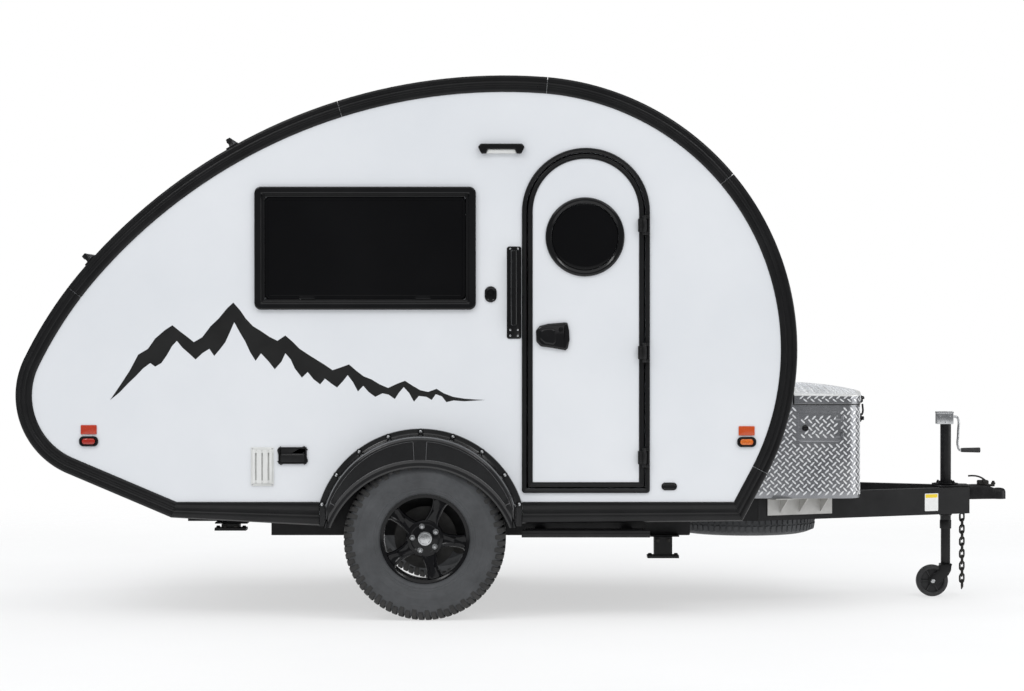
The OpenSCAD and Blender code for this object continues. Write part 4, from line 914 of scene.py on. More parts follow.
# ribbed white vent cover with a screw at each corner
CX, CZ = TAIL_X + 1111.0, 686.0
vent_bits = [soften(slab("vent_plate", round_rect(103, 175, 4, CX, CZ, 3), WALL_Y, -1004), 1.0, 2, 25)]
for dx, w in ((-38, 12), (-14, 22), (14, 22), (38, 12)):
    vent_bits.append(slab("vent_rib", round_rect(w, 150, 3, CX + dx, CZ, 3), -1003.5, -1015.8, 2.6))
for dz in (-66, 66):
    vent_bits.append(slab("vent_band", round_rect(90, 10, 3, CX, CZ + dz, 3), -1003.5, -1013, 1.6))
finished(joined("white_vent_cover", vent_bits), white_plastic, ("vent_cover",), smooth=40)
vent_screws = [screw_head(CX + sx * 45, -1004, CZ + sz * 81, 3.4) for sx in (-1, 1) for sz in (-1, 1)]
finished(joined("vent_cover_screws", vent_screws), bright_steel)


# left side: two service hatches and the power inlet
def hatch(name, x, z, w, h, latch):
    """A framed cover; with latch it has louvres and two turn latches, without it a round cap."""
    rings = rect_rings(w, h, 14, x, z, [
        (0, 1000.3), (0, 1005.5), (2, 1008.6), (6, 1010), (12, 1010), (15, 1008.6), (16, 1005), (18.5, 1004.6),
        (19.5, 1009), (23, 1010.6), (40, 1011)])
    bits = [loft(name, rings)]
    if latch:
        for s in (-1, 1):
            bits.append(turned("latch", [(0, 1006), (14, 1006), (14, 1010.8), (11, 1013), (0, 1013.2)],
                               (x + s * (w / 2 - 60), 0, z - h / 2 + 44), steps=28))
            bits.append(slab("latch_bar", round_rect(5, 20, 2, x + s * (w / 2 - 60), z - h / 2 + 44, 2), 1012,
                             1014, 0.6))
        for i in range(7):
            bits.append(slab("louvre", round_rect(w - 110, 5, 2, x, z - 18 + i * 13, 2), 1009, 1013.4, 1.2))
    else:
        bits.append(turned("cap", [(0, 1008), (32, 1008), (33, 1012), (28, 1013.8), (0, 1013.8)], (x, 0, z), steps=40))
    return joined(name, bits)


for name, x, z, w, h, latch in (("service_hatch_high", 2500, 1180, 420, 210, True),
                                ("service_hatch_low", 2500, 760, 420, 210, True),
                                ("power_inlet", 1180, 740, 120, 120, False)):
    finished(hatch(name, TAIL_X + x, z, w, h, latch), black_plastic, smooth=40)

# ---------------------------------------------------------------- lamps
# distance from the tail, heights of the reflector and of the lamp, finishes, and the word in the names
LAMPS = ((330.0, 852.0, 800.0, red_lens, red_reflector, "red"),
         (3289.0, 847.0, 797.0, amber_lens, amber_reflector, "amber"))
bezels = []
for x, high, low, lens, reflector, word in LAMPS:
    x += TAIL_X
    lens_bits, mirror_bits = [], []
    for side in (-1, 1):
        y = side * HALF_W
        bezels.append(stepped("lamp_bezel", round_rect(86, 46, 20, x, low, 8), y + side * 0.3, y + side * 10,
                              [(9, 0), (3, -3)], 1.8, angle=30))
        for s in (-1, 1):
            bezels.append(turned("bezel_screw", [(0, 0), (3.4, 0), (3, side * 1.4), (0, side * 1.8)],
                                 (x + s * 36, y + side * 10, low), steps=14))
        lens_bits.append(stepped("lamp_lens", round_rect(58, 26, 12, x, low, 8), y + side * 7, y + side * 15,
                                 [(6, 2.5)], 1.5, angle=30))
        for i in range(-3, 4):
            lens_bits.append(slab("lens_rib", round_rect(2.2, 13, 1, x + i * 6, low, 2), y + side * 16.8,
                                  y + side * 18, 0.4))
        mirror_bits.append(stepped("reflector", round_rect(72, 42, 3, x, high, 3), y + side * 0.3, y + side * 4.2,
                                   [(3, 0.7)], 0.6, angle=30))
    finished(joined(f"{word}_side_lamps", lens_bits), lens, (f"{word}_lenses",), smooth=40)
    finished(joined(f"{word}_reflectors", mirror_bits), reflector, smooth=40)
finished(joined("side_lamp_bezels", bezels), gloss_black, ("marker_lamps",), smooth=40)


def onto_skin(piece, angle, inset_by, y=0.0):
    """Moves a piece made flat at the origin, +X down the skin and +Z outwards, onto the skin at an angle."""
    x, z = on_skin(angle, inset_by)
    return moved(piece, (0, math.radians(90 - angle), 0), (x, y, z))


def flat_plate(name, outline, z0, z1, round_by=0.0, segments=2):
    """An XY outline given thickness along Z."""
    piece = face_of(name, [(x, y, z0) for x, y in outline])
    edit(piece)
    push(z=z1 - z0)
    leave()
    right_way(piece)
    return soften(piece, round_by, segments) if round_by else piece


TAIL_LAMP_N, TAIL_LAMP_Y = 211, 790
tail_bits, tail_frames = [], []
for s in (-1, 1):
    base = flat_plate("tail_lamp_base", round_rect(80, 190, 20), 0, 10, 1.5)
    tail_frames.append(onto_skin(base, TAIL_LAMP_N, TRIM_T - 0.2, s * TAIL_LAMP_Y))
    lens_piece = flat_plate("tail_lamp_lens", round_rect(68, 178, 15), 9, 20)
    choose(lens_piece, lambda c, n: n.z > 0.9 and c.z > 19)
    inset(9, 6)
    leave()
    soften(lens_piece, 2.5, 3, 25)
    tail_bits.append(onto_skin(lens_piece, TAIL_LAMP_N, TRIM_T - 0.2, s * TAIL_LAMP_Y))
    for i in range(-7, 8):
        rib = flat_plate("lens_rib", round_rect(44, 2.6, 1, 0, i * 10, 2), 25, 26.8)
        tail_bits.append(onto_skin(rib, TAIL_LAMP_N, TRIM_T - 0.2, s * TAIL_LAMP_Y))
finished(joined("tail_lamp_lenses", tail_bits), red_lens, ("tail_lamps",), smooth=40)
finished(joined("tail_lamp_bases", tail_frames), gloss_black, smooth=40)

# ---------------------------------------------------------------- rear crossbars
RAIL_N, RAIL_FOOT_Y = (138.2, 119.3), 975
bar_bits = []
for n in RAIL_N:
    x, z = on_skin(n, -30)
    bar_bits.append(turned("cross_rail", [(0, -970), (12, -970), (14, -967), (14, 967), (12, 970), (0, 970)],
                           (x, 0, z), steps=32))
    for s in (-1, 1):
        foot = flat_plate("rail_foot", round_rect(60, 36, 8), 0.3, 6.3, 1.8)
        bar_bits.append(onto_skin(foot, n, 0, s * RAIL_FOOT_Y))
        post = loft("rail_post", [[(dx * k, dy * k, h) for dx, dy in round_rect(24, 26, 6, 0, 0, 3)]
                                  for h, k in ((5, 1.15), (12, 0.9), (24, 0.8), (38, 1.0), (42, 0.8))])
        bar_bits.append(onto_skin(post, n, 0, s * RAIL_FOOT_Y))
finished(joined("rear_cross_rails", bar_bits), black_plastic, ("rear_crossbars",), smooth=40)


# ---------------------------------------------------------------- fenders
ARCH_R, ARCH_CZ, FLARE_FOOT = 430.0, HUB_Z - 108.0, FRAME_Z - RAIL_H + 8.0
ROLL_W, LIP_W = 42, 30   # widths of the rolled outer edge and of the lip at the opening


def flare_line(steps=72, foot_steps=6):
    """The flare's outline from the rear foot over the top to the front foot, as (x, z)."""
    points = []
    w, r = FLARE_R - 21, FLARE_R
    turn = math.degrees(math.acos(w / r))
    rise = math.sqrt(r * r - w * w)
    for i in range(foot_steps):
        points.append((FLARE_X - w, FLARE_FOOT + (FLARE_Z + rise - FLARE_FOOT) * i / foot_steps))
    for i in range(steps + 1):
        c, s = unit(180 - turn - (180 - 2 * turn) * i / steps)
        points.append((FLARE_X + r * c, FLARE_Z + r * s))
    for i in range(foot_steps - 1, -1, -1):
        points.append((FLARE_X + w, FLARE_FOOT + (FLARE_Z + rise - FLARE_FOOT) * i / foot_steps))
    return points


def arch_line(count):
    """Matching points along the wheel opening."""
    half = math.degrees(math.acos((FLARE_FOOT - ARCH_CZ) / ARCH_R))
    return [(FLARE_X + ARCH_R * math.sin(math.radians(-half + 2 * half * i / (count - 1))),
             ARCH_CZ + ARCH_R * math.cos(math.radians(-half + 2 * half * i / (count - 1)))) for i in range(count)]


def fender_lines():
    """For each section of the flare: outer point, direction to the opening, length, flat width and edge roll."""
    outer = flare_line()
    for (ox, oz), (ax, az) in zip(outer, arch_line(len(outer))):
        length = math.hypot(ax - ox, az - oz)
        face = length - ROLL_W - LIP_W
        yield ox, oz, (ax - ox) / length, (az - oz) / length, length, face, min(11.0, face * 0.2)


def fender_rings(side):
    rings = []
    for ox, oz, ux, uz, length, face, lead in fender_lines():
        # the recess fades to a point near each foot, and stops at a rib at the crown
        deep = 7.0 * max(0.0, min(1.0, (face - 26) / 18.0)) if abs(ox - FLARE_X) > 27 else 0.0
        top, low = ROLL_W + lead, ROLL_W + face - lead * 0.4
        section = [(0, 0.3), (0, 8), (2, 11.4), (5, 12), (20, 12.6), (24, 15), (27, 26), (31, 62), (36, 92), (40, 101),
                   (46, 104.6), (top, 105), (top + 3.5, 105 - deep), (ROLL_W + face * 0.5, 105 - deep * 1.15),
                   (low - 3.5, 105 - deep), (low, 105),
                   (length - 27, 104.2), (length - 24, 102.4), (length - 20, 102.6), (length - 14, 104.8),
                   (length - 5, 104.6), (length - 1, 102.8), (length, 100.2), (length - 22, 99.7),
                   (48, 99.7), (41, 92), (36, 62), (31, 22), (29, 9), (32, 0.3)]
        rings.append([(ox + ux * w, side * (HALF_W + y), oz + uz * w) for w, y in section])
    return rings


for side, word in SIDES:
    shell = loft(f"{word}_fender_flare", fender_rings(side))
    finished(shell, fender_moulding, (f"{word}_fender",), smooth=38)
    bolts, pockets = [], []
    for i in range(9):
        angle = 90 + (i - 4) * 18.2
        c, s = unit(angle)
        x, z, y = FLARE_X + (FLARE_R - 13) * c, FLARE_Z + (FLARE_R - 13) * s, side * HALF_W
        pockets.append(turned("pocket", [(4, y + side * 11), (4, y + side * 13.2), (9.4, y + side * 13.6),
                                         (11.4, y + side * 15.8), (13.2, y + side * 15.6), (14.4, y + side * 11)],
                              (x, 0, z), steps=24))
        bolts.append(turned("bolt", [(0, y + side * 12), (7.2, y + side * 12), (7.2, y + side * 14.2),
                                     (5, y + side * 15), (4.8, y + side * 17.2), (3, y + side * 18.4),
                                     (0, y + side * 18.6)], (x, 0, z), steps=12))
    finished(joined(f"{word}_fender_pockets", pockets), gloss_black, smooth=40)
    finished(joined(f"{word}_fender_bolts", bolts), bright_steel, smooth=25)

# raised lines round the two recesses of each flare, real beads in a lighter grey than the flare as a painted highlight
for side, word in SIDES:
    beads = []
    for half in (-1, 1):
        high_edge, low_edge = [], []
        for ox, oz, ux, uz, _, face, lead in fender_lines():
            if (ox - FLARE_X) * half < 28 or face < 30:
                continue
            for edge, w in ((high_edge, ROLL_W + lead), (low_edge, ROLL_W + face - lead * 0.4)):
                edge.append((ox + ux * w, side * (HALF_W + 103.7), oz + uz * w))
        loop = high_edge + low_edge[::-1]
        beads.append(pipe("recess_bead", loop + loop[:1], 1.2))
    finished(joined(f"{word}_fender_beads", beads), painted_highlight_fender_bead, smooth=40)

# ---------------------------------------------------------------- road wheels
TYRE_Y = 972.5           # middle of a tyre from the middle of the trailer
SPOKES, LUGS = 5, 36
hub = (AXLE_X, 0.0, HUB_Z)


def tyre_carcass(name, side):
    """The tyre body: bead, ringed sidewall, shoulder and the floor of the tread."""
    right = [(202, 84), (204, 92), (210, 97), (216, 99.5), (219, 101.6), (222, 100.6), (226, 101.4), (230, 104.6),
             (233, 104), (240, 107.5), (252, 112.4), (262, 114.6), (264, 115.9), (267, 116), (269, 115), (282, 116.4),
             (294, 115.8), (296, 116.6), (299, 116.4), (301, 115), (314, 111.8), (326, 107), (338, 101.5),
             (347, 95), (351.5, 86), (352, 40), (352.4, 0)]
    left = [(r, -h) for r, h in reversed(right[:-1])]
    inner = [(200, -80), (200, 80)]
    return turned(name, [(r, side * (TYRE_Y + h)) for r, h in right + left + inner], hub, steps=120)


def polar(r, angle, y):
    """A point at the top of the wheel, turned by a small angle."""
    s, c = math.sin(math.radians(angle)), math.cos(math.radians(angle))
    return (AXLE_X + r * s, y, HUB_Z + r * c)


def lug(name, side, corners, r_low, r_high, shrink=0.86):
    """A tread lug from its corners (angle, y offset)."""
    ca = sum(a for a, y in corners) / len(corners)
    cy = sum(y for a, y in corners) / len(corners)
    low = [polar(r_low, a, side * (TYRE_Y + y)) for a, y in corners]
    mid = [polar(r_high - 1.2, ca + (a - ca) * 0.96, side * (TYRE_Y + cy + (y - cy) * 0.96)) for a, y in corners]
    high = [polar(r_high, ca + (a - ca) * shrink, side * (TYRE_Y + cy + (y - cy) * shrink)) for a, y in corners]
    return loft(name, [low, mid, high])


def shoulder_lug(name, side, edge, a0, a1, long):
    """A chunky lug that wraps from the tread over the shoulder and down the sidewall."""
    foot = 316 if long else 326
    section = [(346, 62), (363.6, 62.5), (363.4, 84), (359, 97), (345, 106.5), (foot + 8, 112.6 if long else 110.4),
               (foot, 111.5 if long else 108.2), (foot + 4, 104), (340, 96)]
    rings = []
    for a, k in ((a0, 0.0), (a0 + 0.35, 1.0), (a1 - 0.35, 1.0), (a1, 0.0)):
        ring = []
        for r, h in section:
            soft = 1.6 * (1 - k)
            lean = (h - 84) * 0.03
            ring.append(polar(r - (soft if r > 350 else 0), a + lean, side * TYRE_Y + side * edge * (h - soft)))
        rings.append(ring)
    return loft(name, rings)


def tyre_tread(name, side):
    """One pitch of the tread, with two lugs in every row, repeated round the hub."""
    lugs = []
    for edge in (-1, 1):
        lugs.append(shoulder_lug("lug", side, edge, -4.4, -0.9, True))
        lugs.append(shoulder_lug("lug", side, edge, 0.7, 4.1, False))
        # inner rows with slanted, stepped edges
        lugs.append(lug("lug", side, [(-4.6, edge * 34), (-1.2, edge * 31), (-0.9, edge * 57), (-4.0, edge * 57)],
                        351, 363.4))
        lugs.append(lug("lug", side, [(0.3, edge * 29), (3.9, edge * 34), (4.6, edge * 57), (0.8, edge * 56)],
                        351, 363.4))
    lugs.append(lug("lug", side, [(-4.4, -26), (-1.4, -20), (-0.2, 3), (-0.9, 26), (-4.2, 22), (-3.4, 0)], 351, 363.6))
    lugs.append(lug("lug", side, [(0.9, -25), (4.3, -20), (5.2, 2), (4.3, 27), (1.0, 21), (1.7, -2)], 351, 363.6))
    return around(joined(name, lugs), LUGS, hub)


def turn_on_hub(piece, degrees):
    edit(piece)
    bpy.ops.transform.rotate(value=math.radians(degrees), orient_axis="Y", center_override=[c * MM for c in hub])
    leave()
    return piece


def road_wheel(name, side):
    """Five twin-edged spokes in a stepped rim."""
    out = lambda h: side * (TYRE_Y + h)
    barrel = turned("barrel", [(r, out(h)) for r, h in [
        (200, 82), (205, 84.2), (207.2, 82), (207.2, 79), (200, 76.8), (193.6, 70), (190.5, 50), (189, 0), (191, -60),
        (201, -80), (201, -84.2), (195, -84.2), (186, -60), (184.4, 0), (185.5, 48), (187.4, 62), (188.5, 69),
        (185.5, 71.5), (185.5, 75), (191, 77.6), (195.5, 81.4)]], hub, steps=96)
    hub_disc = turned("hub_disc", [(r, out(h)) for r, h in [
        (33, 26), (79, 26), (84, 30), (85, 44), (81, 51), (72, 54.5), (66, 55), (62, 52), (46, 52), (40, 55.5),
        (34, 56), (33, 54)]], hub, steps=80)
    # a spoke at the top, as rings along its length: half width, crown height, edge height
    rings = []
    for r, half, low, crown in ((60, 37, 30, 50), (82, 33, 30, 56), (104, 28, 33, 60), (132, 26.5, 38, 64),
                                (158, 29, 44, 68), (176, 34, 50, 70.5), (188.5, 44, 52, 71)):
        section = [(-half, low), (-half, crown - 7), (-half + 3.5, crown - 0.8), (-half + 7.5, crown),
                   (-half + 11, crown - 3), (-half * 0.35, crown - 9), (half * 0.35, crown - 9), (half - 11, crown - 3),
                   (half - 7.5, crown), (half - 3.5, crown - 0.8), (half, crown - 7), (half, low)]
        rings.append([(AXLE_X + x, out(h), HUB_Z + math.sqrt(max(r * r - (x * x if r > 180 else 0), 1)))
                      for x, h in section])
    spokes = around(turn_on_hub(loft("spoke", rings), -22), SPOKES, hub)
    cap = turned("cap", [(r, out(h)) for r, h in [(0, 60.6), (20, 60.6), (23, 59.4), (25, 61.4), (31, 60.6), (33, 57),
                                                  (33, 30), (0, 30)]], hub, steps=64)
    return joined(name, [barrel, hub_disc, spokes]), cap


for side, word in SIDES:
    body = f"{word}_road_wheel"
    carcass = tyre_carcass(f"{word}_tyre_carcass", side)
    finished(carcass, tyre_rubber, (f"{word}_tyre",), body=body, smooth=40)
    tread = tyre_tread(f"{word}_tyre_tread", side)
    finished(tread, tread_rubber, body=body, smooth=25)
    wheel, cap = road_wheel(f"{word}_wheel_rim", side)
    finished(wheel, wheel_paint, (f"{word}_wheel",), body=body, smooth=35)
    finished(joined(f"{word}_wheel_cap", [cap]), bright_steel, body=body, smooth=40)
    nut_at = (AXLE_X, 0, HUB_Z + 57.15)
    nut = turned("nut", [(r, side * (TYRE_Y + h)) for r, h in [(0, 50), (10.5, 50), (10.8, 56), (9.6, 66), (7, 69.5),
                                                               (0, 70)]], nut_at, steps=6)
    collar = turned("collar", [(r, side * (TYRE_Y + h)) for r, h in [(0, 50), (13.5, 50), (13.5, 54), (11, 57),
                                                                     (0, 57)]], nut_at, steps=20)
    nuts = around(turn_on_hub(joined(f"{word}_wheel_nuts", [nut, collar]), 14), SPOKES, hub)
    finished(nuts, bright_steel, body=body, smooth=25)


# ---------------------------------------------------------------- storage tub
TUB_X1, TUB_HALF, TUB_R, TUB_Z0, TUB_Z1, LID_H, LID_CROWN = NOSE_X + 380, 600.0, 100.0, 516.0, 955.0, 46.0, 40.0
BOW_IN = 136             # the corners' centres lie this far behind the middle of the bowed front
SIDE_X = TUB_X1 - BOW_IN
BOW = ((TUB_HALF - TUB_R) ** 2 + BOW_IN ** 2 - TUB_R ** 2) / (2 * (BOW_IN - TUB_R))
BOW_A = math.atan((TUB_HALF - TUB_R) / (BOW - BOW_IN))
BOW_L, CORNER_L = BOW * BOW_A, TUB_R * (math.pi / 2 - BOW_A)
LID_X0 = NOSE_X + 28


def tub_path(s, out=0.0):
    """Point of the tub's plan, s millimetres from the middle of its front, positive towards the right side."""
    side = -1 if s > 0 else 1
    a = abs(s)
    if a < BOW_L:
        t = a / BOW
        return TUB_X1 - BOW + (BOW + out) * math.cos(t), side * (BOW + out) * math.sin(t)
    if a < BOW_L + CORNER_L:
        t = BOW_A + (a - BOW_L) / TUB_R
        return SIDE_X + (TUB_R + out) * math.cos(t), side * (TUB_HALF - TUB_R + (TUB_R + out) * math.sin(t))
    return SIDE_X - (a - BOW_L - CORNER_L), side * (TUB_HALF + out)


PLAN_S = ([BOW_L * i / 14 for i in range(15)] + [BOW_L + CORNER_L * i / 10 for i in range(1, 11)])
PLAN_S = [-s for s in reversed(PLAN_S[1:])] + PLAN_S


def tub_ring(z, d, back_x=None):
    """The tub's plan at a height, inset by d; its back follows the nose unless back_x is given."""
    front = [tub_path(s, -d) for s in PLAN_S]
    back = skin_x(z, 14 + d) if back_x is None else back_x + d
    ends = [(back, -TUB_HALF + d)] + [(back, y * (TUB_HALF - d)) for y in (-0.5, 0, 0.5)] + [(back, TUB_HALF - d)]
    return [(x, y, z) for x, y in front + ends]


heights = [TUB_Z0 + (TUB_Z1 - TUB_Z0) * i / 12 for i in range(13)]
tub_rings = [tub_ring(537.5, 4), tub_ring(TUB_Z0, 4), tub_ring(TUB_Z0, 0.6), tub_ring(TUB_Z0 + 1, 0)]
tub_rings += [tub_ring(z, 0) for z in heights[1:]] + [tub_ring(TUB_Z1, 3.4)]
tub_rings += [tub_ring(z, 4) for z in reversed(heights[2:-1])] + [tub_ring(541.5, 4)]
tub_shell = loft("tub_shell", tub_rings)
upstand = loft("tub_upstand", [[(skin_x(z, 14.5), -TUB_HALF + 0.5, z), (LID_X0 - 6, -TUB_HALF + 0.5, z),
                                (LID_X0 - 6, TUB_HALF - 0.5, z), (skin_x(z, 14.5), TUB_HALF - 0.5, z)]
                               for z in (953, 975, 1000, 1019)])
soften(upstand, 1.5)
hinge_bits = []
LID_PIN, LID_HINGE_Y = (NOSE_X + 20, TUB_Z1 + LID_H + 30), (-400, 0, 400)
for y in LID_HINGE_Y:
    hinge_bits.append(turned("lid_pin", [(0, y - 40), (4, y - 40), (4, y + 40), (0, y + 40)],
                             (LID_PIN[0], 0, LID_PIN[1]), steps=20))
    for e in (-1, 1):
        hinge_bits.append(block("lid_ear", (NOSE_X + 3, y + e * 36 - 4, LID_PIN[1] - 24),
                                (NOSE_X + 26, y + e * 36 + 4, LID_PIN[1] + 5), 2.0))
SIDE_PIN = (NOSE_X + 144 + 106, -TUB_HALF - 7)
for e in (-1, 1):
    z = 849 + e * 40
    hinge_bits.append(turned("door_pin", [(0, z - 12), (3, z - 12), (3, z + 12), (0, z + 12)], (*SIDE_PIN, 0), axis="Z",
                             steps=16))
    for f in (-1, 1):
        hinge_bits.append(block("door_ear", (SIDE_PIN[0] - 1, SIDE_PIN[1] - 4, z + f * 12 - 2),
                                (SIDE_PIN[0] + 7, SIDE_PIN[1] + 8, z + f * 12 + 2), 0.6))
# the tub's walls take the darkened sheet: painted shade
finished(joined("tub_body", [tub_shell, upstand] + hinge_bits), tread_sheet, ("storage_tub",), smooth=35)

CELL = 17.0              # pitch of the tread bars


def tread_tile():
    """Two raised bars of a basket weave, flat at the origin: X and Z along the sheet, -Y outwards."""
    rings = []
    for h, long, wide in ((0.2, 14.5, 4.0), (-1.0, 13.8, 3.5), (-1.9, 11.6, 2.4)):
        rings.append([(long, h, 0), (long * 0.5, h, wide), (-long * 0.5, h, wide), (-long, h, 0),
                      (-long * 0.5, h, -wide), (long * 0.5, h, -wide)])
    bar = loft("tread_bar", rings)
    bars = []
    for i in (0, 1):
        bars.append(moved(copied(bar, "bar"), (0, math.radians(45 if i else -45), 0), (i * CELL, 0, i * CELL)))
    bpy.data.objects.remove(bar)
    return joined("tread_tile", bars)


def tread_field(name, across, up, wrap, keep):
    """Rows of tread bars, first flat, then laid on a surface by wrap(u, v, out). Bars that keep(u, v) refuses go."""
    piece = tread_tile()
    in_bar = len(piece.data.vertices) // 2
    for count, step in ((across, (2 * CELL * MM, 0, 0)), (up, (0, 0, 2 * CELL * MM))):
        work_on(piece)
        rows = piece.modifiers.new("rows", "ARRAY")
        rows.use_relative_offset, rows.use_constant_offset = False, True
        rows.count, rows.constant_offset_displace = count, step
        bpy.ops.object.modifier_apply(modifier=rows.name)
    flat = [v.co / MM for v in piece.data.vertices]
    wide, high = (across * 2 - 1) * CELL, (up * 2 - 1) * CELL
    refused = []
    for first in range(0, len(flat), in_bar):
        u = sum(p.x for p in flat[first:first + in_bar]) / in_bar - wide / 2
        v = sum(p.z for p in flat[first:first + in_bar]) / in_bar - high / 2
        if not keep(u, v):
            refused += range(first, first + in_bar)
    place(piece, [wrap(p.x - wide / 2, p.z - high / 2, -p.y) for p in flat])
    choose_none(piece, "VERT")
    for i in refused:
        piece.data.vertices[i].select = True
    if refused:
        bpy.ops.object.mode_set(mode="EDIT")
        bpy.ops.mesh.delete(type="VERT")
        leave()
    edit(piece)
    bpy.ops.mesh.normals_make_consistent(inside=False)
    leave()
    return name_it(name)


MID_Z = (TUB_Z0 + TUB_Z1) / 2
DOOR_MX, DOOR_MZ, TUB_LEAF_W, TUB_LEAF_H = NOSE_X + 144, 849.0, 200, 140
BAR_CLEAR = 13           # between the side door and the bars round it


def wall_point(s, v, out):
    x, y = tub_path(s, out)
    return x, y, MID_Z + v


def wall_keeps(s, v):
    x, z = tub_path(s)[0], MID_Z + v
    at_door = (s > BOW_L + CORNER_L and abs(x - DOOR_MX) < TUB_LEAF_W / 2 + BAR_CLEAR
               and abs(z - DOOR_MZ) < TUB_LEAF_H / 2 + BAR_CLEAR)
    return x > skin_x(z, 14) + 16 and not at_door and TUB_Z0 + 12 < z < TUB_Z1 - 12


wall_bars = tread_field("tub_tread_bars", 65, 13, wall_point, wall_keeps)
# the bars take the lightened copy: a painted highlight
finished(wall_bars, painted_highlight_tread_bars, smooth=20)
gasket = loft("tub_gasket", [tub_ring(z, d, LID_X0 - 4) for z, d in ((949.8, 2), (949.8, -2.4), (955.3, -2.4),
                                                                    (955.3, 2), (949.8, 2))], capped=False)
finished(gasket, solid_rubber, smooth=30)

# the side door of the tub, its latch and its own tread bars
leaf_y = -TUB_HALF
leaf_bits = [stepped("tub_door_sheet", round_rect(TUB_LEAF_W, TUB_LEAF_H, 14, DOOR_MX, DOOR_MZ, 6), leaf_y - 0.5,
                     leaf_y - 3.2, [(5, 0.5)], 0.4)]
for e in (-1, 1):
    z = DOOR_MZ + e * 40
    leaf_bits.append(turned("knuckle", [(3.1, z - 9.5), (6, z - 9.5), (6, z + 9.5), (3.1, z + 9.5)], (*SIDE_PIN, 0),
                            axis="Z", steps=24))
    leaf_bits.append(block("knuckle_leaf", (SIDE_PIN[0] - 30, leaf_y - 5.6, z - 9.5),
                           (SIDE_PIN[0] - 3, leaf_y - 3.6, z + 9.5), 0.8))
# the door's sheet takes the darkened copy: painted shade
finished(joined("tub_side_door_leaf", leaf_bits), tread_sheet, ("tub_door",), body="tub_side_door")
leaf_bars = tread_field("tub_door_tread_bars", 6, 4, lambda u, v, out: (DOOR_MX + u, leaf_y - 3.6 - out, DOOR_MZ + v),
                        lambda u, v: abs(u) < 84 and abs(v) < 56 and not (abs(u + 66) < 22 and abs(v + 6) < 18))
# the door's bars take the lightened copy: a painted highlight
finished(leaf_bars, painted_highlight_tread_bars, body="tub_side_door", smooth=20)
paddle = [turned("paddle_boss", [(r, leaf_y - h) for r, h in [(0, 3), (15, 3), (15, 5.5), (12, 7.5), (9, 6), (0, 6)]],
                 (DOOR_MX - 66, 0, DOOR_MZ - 6), steps=32),
          slab("paddle", round_rect(24, 9, 4, DOOR_MX - 63, DOOR_MZ - 6, 4), leaf_y - 6, leaf_y - 9.5, 1.5)]
finished(joined("tub_door_latch", paddle), gloss_black, body="tub_side_door")

# lid with a crown both ways
ZT = TUB_Z1 + LID_H + LID_CROWN
RY = (TUB_HALF ** 2 + LID_CROWN ** 2) / (2 * LID_CROWN)
RX = (380 ** 2 + LID_CROWN ** 2) / (2 * LID_CROWN)


def lid_z(x, y, lift=0.0):
    """Height of the lid's crown, with an arc along and an arc across it."""
    drop_y = RY - math.sqrt(max(RY * RY - y * y, 0))
    drop_x = RX - math.sqrt(max(RX * RX - max(0.0, x - LID_X0) ** 2, 0))
    return ZT - math.sqrt(drop_x ** 2 + drop_y ** 2) + lift


def lid_plan(d):
    """The lid's plan, inset by d."""
    front = [tub_path(s, -d) for s in PLAN_S]
    w = TUB_HALF - d
    back = [(LID_X0, -w * (1 - 2 * i / 16)) for i in range(17)]
    return front + back


def lid_ring(share, d, lift):
    """The lid's plan shrunk to a share of its size, laid on the crown."""
    cx = LID_X0 + 165
    return [(cx + (x - cx) * share, y * share, lid_z(cx + (x - cx) * share, y * share, lift)) for x, y in lid_plan(d)]


def level_ring(d, above):
    """The lid's plan, inset by d, level at a height above the tub's rim."""
    return [(x, y, TUB_Z1 + above) for x, y in lid_plan(d)]


def crown_ring(d, lift):
    return [(x, y, lid_z(x, y, lift)) for x, y in lid_plan(d)]


shares = [0.03, 0.15, 0.3, 0.45, 0.6, 0.75, 0.88, 0.96]
lid_rings = [lid_ring(s, 0.4, -4) for s in shares] + [lid_ring(1.0, 0.4, -6)]
lid_rings += [level_ring(0.4, 0.6), level_ring(-4, 0.6), level_ring(-4, 6), crown_ring(-4, -6), crown_ring(-2.8, -1.5)]
lid_rings += [lid_ring(s, 0, 0) for s in [0.985] + list(reversed(shares))]
lid_bits = [loft("tub_lid_sheet", lid_rings)]
for y in LID_HINGE_Y:
    lid_bits.append(turned("lid_knuckle", [(4.1, y - 31), (7, y - 31), (8, y - 30), (8, y + 30), (7, y + 31),
                                           (4.1, y + 31)], (LID_PIN[0], 0, LID_PIN[1]), steps=24))
    lid_bits.append(block("lid_leaf", (LID_PIN[0] + 4, y - 31, LID_PIN[1] - 8),
                          (LID_PIN[0] + 14, y + 31, LID_PIN[1] - 3), 1.0))
# the lid's top takes the lightened copy: painted light from above
finished(joined("tub_lid_cover", lid_bits), painted_light_tread_crown, ("tub_lid",), body="tub_lid_body", smooth=35)
skirt_band = loft("lid_skirt_band", [level_ring(-3.6, 1.2), level_ring(-4.4, 1.2), crown_ring(-4.4, -7),
                                     crown_ring(-3.6, -7), level_ring(-3.6, 1.2)], capped=False)
# the skirt band takes the darkened copy: painted shade
finished(skirt_band, tread_sheet, body="tub_lid_body", smooth=35)
skirt_mid = TUB_Z1 + 24
skirt_bars = tread_field("lid_skirt_tread_bars", 58, 1,
                         lambda s, v, out: (*tub_path(s, 4 + out), skirt_mid + v * 0.8),
                         lambda s, v: tub_path(s)[0] > LID_X0 + 18)
# the skirt's bars take the lightened copy: a painted highlight
finished(skirt_bars, painted_highlight_tread_bars, body="tub_lid_body", smooth=20)


TOP_MX = LID_X0 + 178    # middle of the field of bars on the lid


